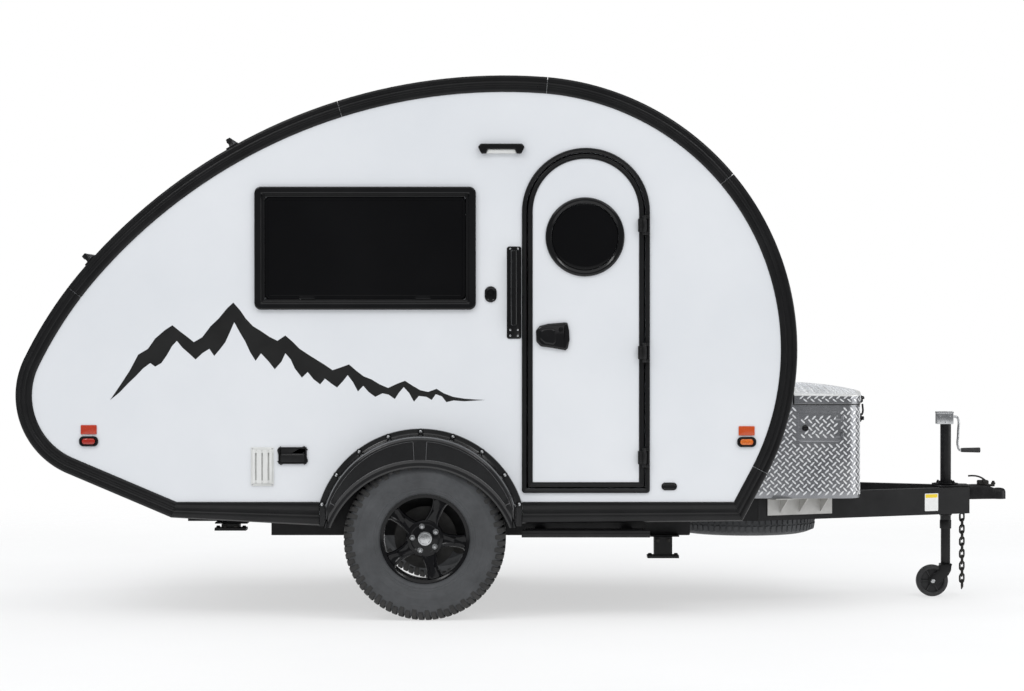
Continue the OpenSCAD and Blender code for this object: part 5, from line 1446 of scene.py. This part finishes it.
def top_keeps(u, v):
    x, y = TOP_MX + u, v
    if x < LID_X0 + 24 or abs(y) > TUB_HALF - 14:
        return False
    if x > SIDE_X:
        reach = max(tub_path(s)[0] for s in PLAN_S if abs(abs(tub_path(s)[1]) - abs(y)) < 26)
        return x < reach - 18
    return True


top_bars = tread_field("lid_top_tread_bars", 11, 35,
                       lambda u, v, out: (TOP_MX + u, v, lid_z(TOP_MX + u, v) + out * 0.9), top_keeps)
# the lid's bars take the lightened copy: a painted highlight
finished(top_bars, painted_highlight_tread_bars, body="tub_lid_body", smooth=20)

# draw latches on the bowed front, the catch rides on the lid
for i, s_at in enumerate((BOW_L - 46, -(BOW_L - 46))):
    x, y = tub_path(s_at)
    t = s_at / BOW
    nx, ny = math.cos(t), -math.sin(t)
    at = lambda out, across, z: (x + nx * out - ny * across, y + ny * out + nx * across, z)
    low_bits = [loft("latch_base", [[at(0.2, -15, z), at(0.2, 15, z), at(k, 13, z), at(k, -13, z)]
                                    for z, k in ((868, 5), (874, 9), (902, 9), (908, 5))]),
                pipe("latch_pull", [at(9, 0, 900), at(14, 0, 915), at(13, 0, 940), at(12, 0, 952)], 4.5, True),
                pipe("latch_tee", [at(11, -17, 886), at(13, 0, 886), at(11, 17, 886)], 5.0, True),
                turned("latch_knob", [(0, 876), (7, 876), (8, 880), (8, 890), (6, 894), (0, 894)],
                       (at(12, 0, 0)[0], at(12, 0, 0)[1], 0), axis="Z", steps=20)]
    finished(joined(f"tub_latch_{i + 1}", low_bits), gloss_black)
    catch = [loft("catch", [[at(4.2, -12, z), at(4.2, 12, z), at(k, 10, z), at(k, -10, z)]
                            for z, k in ((958, 10), (964, 15), (984, 14), (992, 8))]),
             pipe("catch_hook", [at(9, 0, 986), at(17, 0, 984), at(18, 0, 974)], 3.5, True)]
    finished(joined(f"lid_catch_{i + 1}", catch), gloss_black, body="tub_lid_body")

# ---------------------------------------------------------------- spare wheel under the nose
SPARE = (NOSE_X - 160, 0.0, 315.0)
spare_profile = [(190, 24), (192, 30), (200, 18), (212, 12), (236, 5), (262, 1.5), (290, 2.5), (312, 8), (332, 16),
                 (343, 26), (344, 40), (344, 140), (343, 154), (332, 164), (312, 172), (290, 177.5), (262, 178.5),
                 (236, 175), (212, 168), (200, 162), (192, 150), (190, 156)]
spare = turned("spare_tyre_carcass", spare_profile, SPARE, axis="Z", steps=96)
SPARE_LUGS, SPARE_FOOT_R, SPARE_TOP_R = 72, 342, 349.6
ribs = []
for a0, a1, z0, z1 in ((-1.9, 1.5, 20, 52), (-1.6, 1.9, 58, 86), (-1.9, 1.6, 94, 122), (-1.5, 1.9, 128, 160)):
    ring_low, ring_high = [], []
    for a, z in ((a0, z0), (a1, z0 + 3), (a1, z1), (a0, z1 - 3)):
        c, s = unit(a)
        edge = 6 if (z < 30 or z > 150) else 0
        for ring, r in ((ring_low, SPARE_FOOT_R - edge), (ring_high, SPARE_TOP_R - edge)):
            ring.append((SPARE[0] + r * c, r * s, SPARE[2] + z))
    ribs.append(loft("rib", [ring_low, ring_high]))
spare_tread = around(joined("spare_tread", ribs), SPARE_LUGS, SPARE, "Z")
spare_rim = turned("spare_rim", [(34, 70), (150, 74), (168, 60), (176, 40), (188, 26), (191, 30), (180, 50), (172, 76),
                                 (152, 88), (34, 84)], SPARE, axis="Z", steps=72)
finished(joined("spare_tyre", [spare, spare_tread]), tyre_rubber, ("spare_wheel",), smooth=30)
finished(spare_rim, wheel_paint, smooth=35)

# ---------------------------------------------------------------- tongue jack
JX, JACK_TOP = TIP_X - 292, 839.0
jack_bits = [
    turned("jack_tube", [(0, 372), (25, 372), (26, 374), (26, 838), (0, 838)], (JX, 0, 0), axis="Z", steps=48),
    turned("jack_collar", [(0, 330), (27, 330), (28, 333), (28, 369), (26.5, 372.5), (0, 372.5)], (JX, 0, 0), axis="Z",
           steps=48),
    turned("jack_leg", [(8.1, 160), (21, 160), (23, 163), (23, 331), (8.1, 331)], (JX, 0, 0), axis="Z", steps=40),
    turned("leg_stop", [(0, 392), (26.2, 392), (30, 396), (30, 402), (26.2, 406), (0, 406)], (JX, 0, 0), axis="Z",
           steps=40)]
for z in (545, 551):
    jack_bits.append(turned("jack_flange", [(26, z - 3), (58, z - 3), (60, z - 1), (60, z + 1), (26, z + 2)],
                            (JX, 0, 0), axis="Z", steps=40))
for i in range(4):
    a = math.radians(45 + 90 * i)
    jack_bits.append(turned("flange_bolt", [(0, 552), (8, 552), (8, 558), (5, 560), (5, 565), (0, 566)],
                            (JX + 46 * math.cos(a), 46 * math.sin(a), 0), axis="Z", steps=6))
finished(joined("tongue_jack_tube", jack_bits), chassis_paint, ("tongue_jack",), smooth=40)
head = block("jack_head", (JX - 46, -28, JACK_TOP), (JX + 34, 28, JACK_TOP + 53), 3.0)
head_top = block("jack_head_top", (JX - 47, -29, JACK_TOP + 52), (JX + 35, 29, JACK_TOP + 60.6), 2.0)
head_rivets = [turned("rivet", [(0, -28), (3.6, -28), (3, -30), (0, -30.6)], (JX - 6 + dx, 0, JACK_TOP + dz), steps=14)
               for dx, dz in ((-24, 14), (24, 14), (-24, 40), (24, 40))]
grease = turned("grease_cap", [(0, -28), (5, -28), (5, -30.5), (2.5, -32.5), (0, -32.5)], (JX - 6, 0, JACK_TOP + 12),
                steps=6)
finished(joined("jack_gear_head", [head, head_top, grease] + head_rivets), bright_steel, smooth=35)
KZ = JACK_TOP + 34
crank = pipe("jack_crank_arm", [(JX + 33, 0, KZ), (JX + 52, 0, KZ), (JX + 60, 0, KZ - 8), (JX + 61, 0, KZ - 80),
                                (JX + 62, 0, KZ - 150), (JX + 70, 0, KZ - 161), (JX + 84, 0, KZ - 161)], 6.0, True, 6)
finished(crank, bright_steel, ("jack_crank",), smooth=40)
grip = turned("crank_grip", [(0, 75), (9, 75), (10, 77), (11, 90), (11.6, 120), (12.5, 158), (12.5, 165), (11, 168),
                             (0, 168)], (JX, 0, KZ - 161), axis="X", steps=32)
finished(grip, solid_rubber, smooth=40)

# caster: swivel cup, two bent cheeks and a ribbed wheel
WX, WR = JX - 66, 77.0
fork_bits = [turned("swivel_cup", [(0, 146), (26, 146), (28, 149), (28, 157), (25, 159.5), (0, 159.5)], (JX, 0, 0),
                    axis="Z", steps=40),
             turned("swivel_pin", [(0, 159), (8, 159), (8, 192), (6, 194), (0, 194)], (JX, 0, 0), axis="Z", steps=24)]
for s in (-1, 1):
    cheek = slab("cheek", [(JX - 26, 158), (JX + 26, 158), (JX + 23, 128), (JX + 10, 104), (WX + 18, 58), (WX + 6, 54),
                           (WX - 10, 57), (WX - 17, 68), (WX - 16, 88), (WX - 2, 106), (JX - 34, 130)], s * 26, s * 31,
                 1.2)
    fork_bits.append(cheek)
fork_bits.append(block("fork_bridge", (JX - 28, -31, 152), (JX + 28, 31, 159.4), 2.0))
finished(joined("caster_fork_frame", fork_bits), chassis_paint, ("jack_fork",), body="caster_fork",
         smooth=35)
axle = turned("caster_axle", [(0, -34), (5, -34), (7, -32), (7, 32), (5, 34), (0, 34)], (WX, 0, WR), steps=20)
caps = [turned("axle_nut", [(0, s * 31), (11, s * 31), (11, s * 35.5), (8, s * 38), (0, s * 38)], (WX, 0, WR), steps=6)
        for s in (-1, 1)]
finished(joined("caster_axle_bolt", [axle] + caps), bright_steel, body="caster_fork", smooth=30)
caster_rim = turned("caster_tread", [(56, -17), (60, -20), (70, -20), (75.5, -17), (77, -12), (77, 12), (75.5, 17),
                                     (70, 20), (60, 20), (56, 17), (57, 0)], (WX, 0, WR), steps=64)
web = turned("caster_web", [(16, -3), (58, -3), (58, 3), (16, 3)], (WX, 0, WR), steps=48)
boss = turned("caster_boss", [(7.1, -24), (15, -24), (18, -20), (18, 20), (15, 24), (7.1, 24)], (WX, 0, WR), steps=36)
rib = block("caster_rib", (WX + 14, -15, WR - 2.5), (WX + 59, 15, WR + 2.5), 0.8)
ribs = around(rib, 6, (WX, 0, WR))
finished(joined("caster_wheel_disc", [caster_rim, web, boss, ribs]), solid_rubber, ("jack_wheel",),
         body="caster_wheel", smooth=35)

# ---------------------------------------------------------------- coupler, chains and labels
BALL_X, RAIL_X1 = TIP_X - 36, TIP_X - 190
shroud_rings = []
for x, half, low, high in ((RAIL_X1 - 2, 60, 476, 541), (RAIL_X1 + 30, 57, 476, 544), (TIP_X - 120, 42, 476, 545),
                           (TIP_X - 92, 38, 476, 543), (TIP_X - 74, 36.5, 476, 534)):
    shroud_rings.append([(x, y, z) for y, z in [(-half, low), (-half, high - 12), (-half + 4, high - 4),
                                                (-half + 14, high), (half - 14, high), (half - 4, high - 4),
                                                (half, high - 12), (half, low)]])
shroud = loft("coupler_shroud", shroud_rings)
socket = turned("ball_socket", [(25.8, 475.4), (35.8, 475.4), (35.8, 508), (33, 519), (25, 526), (12, 528.8), (0, 529),
                                (0, 520), (12, 517), (22, 510), (25.8, 502)], (BALL_X, 0, 0), axis="Z", steps=56)
lip = turned("socket_lip", [(34, 475.4), (36, 475.4), (36, 482), (34.5, 484)], (BALL_X, 0, 0), axis="Z", steps=56)
neck = loft("coupler_neck", [[(x, y * k, z) for y, z in [(-36, 476), (-36, top - 12), (-26, top - 1), (26, top - 1),
                                                         (36, top - 12), (36, 476)]]
                             for x, k, top in ((TIP_X - 76, 1.0, 535), (TIP_X - 62, 0.98, 531),
                                               (TIP_X - 48, 0.9, 526))])
plate = flat_plate("tongue_plate", [(RAIL_X1 - 150, -128), (RAIL_X1 + 10, -60), (RAIL_X1 + 10, 60),
                                    (RAIL_X1 - 150, 128)], FRAME_Z + 0.4, FRAME_Z + 8.3, 2.0)
finished(joined("ball_coupler", [shroud, socket, lip, neck, plate]), chassis_paint, ("coupler",),
         smooth=40)
latch_bits = [block("latch_lump", (TIP_X - 138, -19, 540), (TIP_X - 84, 19, 566), 6.0, 3),
              turned("latch_pivot", [(0, -24), (7, -24), (8, -22), (8, 22), (7, 24), (0, 24)], (TIP_X - 108, 0, 560),
                     steps=24),
              block("latch_tongue", (TIP_X - 96, -14, 535), (TIP_X - 54, 14, 546), 4.0, 3),
              pipe("latch_lever", [(TIP_X - 96, 0, 562), (TIP_X - 112, 0, 574), (TIP_X - 136, 0, 584),
                                   (TIP_X - 160, 0, 587), (TIP_X - 182, 0, 586)], 4.2, True, 5),
              turned("lock_nut", [(0, 545), (11, 545), (11, 553), (7, 556), (7, 562), (0, 563)], (TIP_X - 60, 0, 0),
                     axis="Z", steps=6)]
finished(joined("coupler_latch", latch_bits), dark_steel, smooth=40)

LINK_L, LINK_W, LINK_T, LINKS = 46.0, 28.0, 8.0, 12
PITCH_Z = LINK_L - 2 * LINK_T - 0.2
CHAIN_TOP = FRAME_Z - RAIL_H - LINK_L / 2 - 0.3
deselect()
bpy.ops.mesh.primitive_torus_add(major_segments=28, minor_segments=10, major_radius=(LINK_W - LINK_T) / 2 * MM,
                                 minor_radius=(LINK_T / 2 - 0.3) * MM, rotation=(math.pi / 2, 0, 0))
link = name_it("chain_link")
bpy.ops.object.transform_apply(location=True, rotation=True, scale=True)
stretch = (LINK_L - LINK_W) / 2
for s in (-1, 1):
    choose_corners(link, lambda p, s=s: p.z * s > 0.01)
    bpy.ops.transform.translate(value=(0, 0, s * stretch * MM))
    leave()
chain_bits = []
for s in (-1, 1):
    for i in range(LINKS):
        chain_bits.append(moved(copied(link, "link"), (0, 0, math.radians(i % 2 * 90 + 8 * s)),
                                (RAIL_X1 - 22 + s * 6, s * 30, CHAIN_TOP - i * PITCH_Z)))
bpy.data.objects.remove(link)
finished(joined("safety_chain_links", chain_bits), dark_steel, ("safety_chains",), smooth=60)

# ---------------------------------------------------------------- roof vent
VENT_N = 96.0            # angle of the skin at the roof vent
VENT_PIN_X, VENT_PIN_Z, VENT_PIN_Y = -198, 38, 110
curb_rings = [[(x, y, z) for x, y in round_rect(w, h, r, cx, 0, 4)] for z, w, h, r, cx in
              ((0.9, 408, 400, 22, -4), (5, 408, 400, 22, -4), (12, 396, 388, 18, -4), (13, 366, 366, 12, 0),
               (40, 359, 359, 10, 0), (40, 337, 337, 8, 0), (-29, 337, 337, 8, 0), (-29, 359, 359, 10, 0),
               (0.9, 359, 359, 10, 0))]
curb_rings.append(curb_rings[0])
curb = onto_skin(loft("vent_curb", curb_rings, capped=False), VENT_N, TRIM_T)
vent_ears = []
for s in (-1, 1):
    y = s * VENT_PIN_Y
    pin = rod("vent_pin", (VENT_PIN_X, y - 26, VENT_PIN_Z), (VENT_PIN_X, y + 26, VENT_PIN_Z), 3, 16)
    vent_ears.append(onto_skin(pin, VENT_N, TRIM_T))
    for e in (-1, 1):
        ear = block("vent_ear", (VENT_PIN_X - 6, y + e * 23 - 3, 10), (VENT_PIN_X + 6, y + e * 23 + 3, 43), 1.5)
        vent_ears.append(onto_skin(ear, VENT_N, TRIM_T))
for sx in (-1, 0, 1):
    for sy in (-1, 1):
        bolt = turned("vent_screw", [(0, 11), (5, 11), (4.6, 12.6), (0, 13.4)], (-4 + sx * 185, sy * 188, 0), axis="Z",
                      steps=14)
        vent_ears.append(onto_skin(bolt, VENT_N, TRIM_T))
finished(joined("roof_vent_curb", [curb] + vent_ears), white_plastic, ("roof_vent",), smooth=40)
dome_rings = [[(x, y, z) for x, y in round_rect(w, w, r, 0, 0, 5)] for z, w, r in
              ((57.8, 300, 30), (57, 366, 14), (30, 371, 16), (26.4, 372, 16), (26.4, 379, 18), (30, 380, 20),
               (48, 378, 24), (55, 370, 28), (57, 352, 30), (57.6, 346, 30), (59.4, 338, 34), (60.6, 300, 40),
               (61.6, 180, 40), (61.9, 60, 20))]
dome_bits = [onto_skin(loft("vent_dome", dome_rings), VENT_N, TRIM_T)]
for s in (-1, 1):
    y0, y1 = s * VENT_PIN_Y - 19.5, s * VENT_PIN_Y + 19.5
    knuckle = turned("vent_knuckle", [(3.1, y0), (6, y0), (6, y1), (3.1, y1)], (VENT_PIN_X, 0, VENT_PIN_Z), steps=20)
    dome_bits.append(onto_skin(knuckle, VENT_N, TRIM_T))
    leaf_piece = block("vent_leaf", (VENT_PIN_X + 1, y0, 38.5), (VENT_PIN_X + 14, y1, 43.5), 1.0)
    dome_bits.append(onto_skin(leaf_piece, VENT_N, TRIM_T))
finished(joined("roof_vent_dome", dome_bits), smoked_plastic, ("roof_vent_lid",), body="vent_lid",
         smooth=40)

# ---------------------------------------------------------------- number plate without characters
plate_piece = flat_plate("blank_number_plate", round_rect(152, 304, 10, 0, 0, 5), 0, 1.6)
choose(plate_piece, lambda c, n: n.z > 0.9 and c.z > 1)
inset(5, 1.2)
inset(3, -1.0)
leave()
soften(plate_piece, 0.3, 2, 25)
onto_skin(plate_piece, 180, TRIM_T - 0.2)
finished(joined("number_plate_blank", [plate_piece]), blank_plate, ("number_plate",), smooth=35)

# ---------------------------------------------------------------- ridge graphic on the walls
ridge_top = [(-1893, 985), (-1850, 1048), (-1804, 1118), (-1766, 1190), (-1722, 1216), (-1690, 1262), (-1646, 1300),
             (-1612, 1322), (-1580, 1296), (-1548, 1272), (-1516, 1246), (-1478, 1268), (-1440, 1318), (-1404, 1352),
             (-1366, 1398), (-1338, 1424), (-1308, 1390), (-1282, 1352), (-1250, 1318), (-1214, 1296), (-1176, 1270),
             (-1140, 1252), (-1104, 1276), (-1072, 1248), (-1040, 1216), (-1004, 1192), (-966, 1168), (-930, 1146),
             (-892, 1120), (-856, 1132), (-818, 1146), (-786, 1118), (-752, 1092), (-716, 1078), (-680, 1056),
             (-642, 1040), (-604, 1058), (-566, 1072), (-532, 1050), (-498, 1030), (-462, 1022), (-424, 1036),
             (-392, 1016), (-350, 1000), (-300, 992), (-250, 988), (-205, 986)]
ridge_low = [(-300, 980), (-348, 984), (-380, 976), (-400, 1002), (-428, 1012), (-446, 986), (-470, 1000), (-504, 1004),
             (-526, 978), (-548, 1018), (-572, 1044), (-594, 1018), (-612, 990), (-640, 1010), (-668, 1016),
             (-700, 1000), (-730, 1022), (-754, 1050), (-778, 1024), (-800, 1066), (-824, 1098), (-844, 1072),
             (-872, 1042), (-898, 1060), (-926, 1082), (-948, 1056), (-978, 1080), (-1004, 1112), (-1030, 1086),
             (-1062, 1128), (-1080, 1168), (-1104, 1196), (-1122, 1158), (-1152, 1124), (-1180, 1160), (-1214, 1196),
             (-1238, 1162), (-1262, 1200), (-1284, 1248), (-1310, 1292), (-1334, 1336), (-1354, 1290), (-1374, 1246),
             (-1400, 1212), (-1424, 1184), (-1446, 1216), (-1478, 1196), (-1508, 1168), (-1536, 1194), (-1566, 1220),
             (-1592, 1252), (-1614, 1228), (-1638, 1186), (-1662, 1152), (-1690, 1136), (-1712, 1152), (-1744, 1128),
             (-1778, 1092), (-1812, 1060), (-1850, 1020)]
for side, word in SIDES:
    ridge = slab(f"{word}_ridge_graphic", ridge_top + ridge_low, side * 1000.02, side * 1000.5)
    finished(ridge, black_vinyl)

# ---------------------------------------------------------------- blank label on the drawbar
DRAWBAR_TURN = math.radians(25)
DRAWBAR_FACE = 62 + 25 / math.cos(DRAWBAR_TURN)
LABEL_X, LABEL_Z = 1930.0, 470.0


def on_drawbar(piece, x, side):
    """Moves a piece made at the origin onto the outer face of a drawbar rail."""
    y = DRAWBAR_FACE + (RAIL_X1 - x) * math.tan(DRAWBAR_TURN)
    return moved(piece, (0, 0, -side * DRAWBAR_TURN), (x, side * y, 0))


label = slab("blank_label", round_rect(76, 84, 3, 0, LABEL_Z, 4), -0.1, -0.6)
finished(on_drawbar(label, LABEL_X, -1), label_white, smooth=30)
head = slab("blank_label_head", round_rect(68, 17, 2, 0, LABEL_Z + 30, 4), -0.4, -0.9)
finished(on_drawbar(head, LABEL_X, -1), label_yellow, smooth=30)

# ---------------------------------------------------------------- bolts of the stabilisers
STAB_Y = 670.0
hex_head = [(0, 0.2), (11, 0.2), (11, 1.8), (8.6, 1.8), (8.6, 7.2), (7.4, 8.4), (0, 8.4)]
stab_bits = []
for side in (-1, 1):
    for x, foot, top in ((TAIL_X + 936, 375, FRAME_Z - RAIL_H), (TAIL_X + 2931, 248, FRAME_Z - RAIL_H - 60)):
        face = side * (STAB_Y + 30)
        for dx in (-24, 24):
            stab_bits.append(turned("stab_bolt", [(r, face + side * h) for r, h in hex_head], (x + dx, 0, top - 20),
                                    steps=6))
        for dx in (-60, 60):
            stab_bits.append(turned("foot_bolt", [(r, foot + 12 + h) for r, h in hex_head], (x + dx, side * STAB_Y, 0),
                                    axis="Z", steps=6))
finished(joined("stabiliser_bolts", stab_bits), dark_steel, smooth=30)

# ---------------------------------------------------------------- camera, floor and light
deselect()
bpy.ops.mesh.primitive_plane_add(size=400, location=(0, 0, 0))
floor = name_it("studio_floor")
FLOOR_GLOW, FADE_FROM, FADE_TO = 0.56, 3.2, 7.5      # the fade is by distance from the trailer, in metres
floor_finish, nodes, links, shader, at = start_finish("studio_floor")
drift = noise_on(nodes, links, at, 0.4, 5.0)
links.new(ramp_on(nodes, links, drift, [(0.3, (0.36, 0.36, 0.36)), (0.7, (0.39, 0.39, 0.39))]),
          shader.inputs["Base Color"])
links.new(range_on(nodes, links, drift, 0.75, 0.85), shader.inputs["Roughness"])
shader.inputs["Specular IOR Level"].default_value = 0.1
shader.inputs["Emission Color"].default_value = (1, 1, 1, 1)
shader.inputs["Emission Strength"].default_value = FLOOR_GLOW
reach = nodes.new("ShaderNodeVectorMath")
reach.operation = "LENGTH"
links.new(at, reach.inputs[0])
fade = range_on(nodes, links, reach.outputs["Value"], 0.0, 1.0, FADE_FROM, FADE_TO)
clear, sheet_end = nodes.new("ShaderNodeBsdfTransparent"), nodes.new("ShaderNodeMixShader")
links.new(fade, sheet_end.inputs["Fac"])
links.new(shader.outputs["BSDF"], sheet_end.inputs[1])
links.new(clear.outputs["BSDF"], sheet_end.inputs[2])
links.new(sheet_end.outputs["Shader"], nodes["Material Output"].inputs["Surface"])
floor.data.materials.append(floor_finish)

DAYLIGHT, SKY_LIGHT, SKY_MIRRORED = (0.96, 0.98, 1.0, 1), 0.80, 0.22
world = bpy.data.worlds.new("studio")
bpy.context.scene.world = world
world.use_nodes = True
sky, sky_links = world.node_tree.nodes, world.node_tree.links
seen, mirror, lit = sky.new("ShaderNodeBackground"), sky.new("ShaderNodeBackground"), sky["Background"]
for background, colour, strength in ((seen, (1, 1, 1, 1), 1.0), (lit, DAYLIGHT, SKY_LIGHT),
                                     (mirror, DAYLIGHT, SKY_MIRRORED)):
    background.inputs["Color"].default_value = colour
    background.inputs["Strength"].default_value = strength
eye, blend = sky.new("ShaderNodeLightPath"), sky.new("ShaderNodeMixShader")
soften_mirror = sky.new("ShaderNodeMixShader")
sky_links.new(eye.outputs["Is Glossy Ray"], soften_mirror.inputs["Fac"])
sky_links.new(lit.outputs["Background"], soften_mirror.inputs[1])
sky_links.new(mirror.outputs["Background"], soften_mirror.inputs[2])
sky_links.new(eye.outputs["Is Camera Ray"], blend.inputs["Fac"])
sky_links.new(soften_mirror.outputs["Shader"], blend.inputs[1])
sky_links.new(seen.outputs["Background"], blend.inputs[2])
sky_links.new(blend.outputs["Shader"], sky["World Output"].inputs["Surface"])
bpy.context.scene.view_settings.view_transform = "Standard"


def softbox(name, place_at, turn, size, watts):
    """A rectangular lamp: place and size in metres, turn in degrees."""
    deselect()
    bpy.ops.object.light_add(type="AREA", location=place_at, rotation=[math.radians(a) for a in turn])
    lamp = bpy.context.active_object
    lamp.name = name
    lamp.data.shape = "RECTANGLE"
    lamp.data.size, lamp.data.size_y = size
    lamp.data.energy = watts


bpy.ops.object.light_add(type="SUN", rotation=(math.radians(24), 0, 0))
key = bpy.context.active_object
key.name = "wide_key"
key.data.angle = math.radians(70)
key.data.energy = 0.75
softbox("left_front_softbox", (-4.5, -5.5, 6.5), (42, 0, -38), (3.0, 1.4), 75)
softbox("right_front_softbox", (4.5, -5.5, 6.5), (42, 0, 38), (3.0, 1.4), 75)
softbox("nose_softbox", (6.5, -1.0, 1.5), (0, 90, 0), (2.6, 3.0), 55)
softbox("rear_softbox", (0, 7, 6.5), (-45, 0, 0), (5, 1.5), 70)

CAMERA_AT, CAMERA_DOWN, LENS_MM = (-0.085, -13.1, 1.35), 0.564, 94.6
deselect()
bpy.ops.object.camera_add(location=CAMERA_AT, rotation=(math.radians(90 - CAMERA_DOWN), 0, 0))
camera = bpy.context.active_object
camera.name = "camera"
camera.data.lens = LENS_MM
camera.data.sensor_width = 36
camera.data.clip_end = 200
bpy.context.scene.camera = camera
deselect()
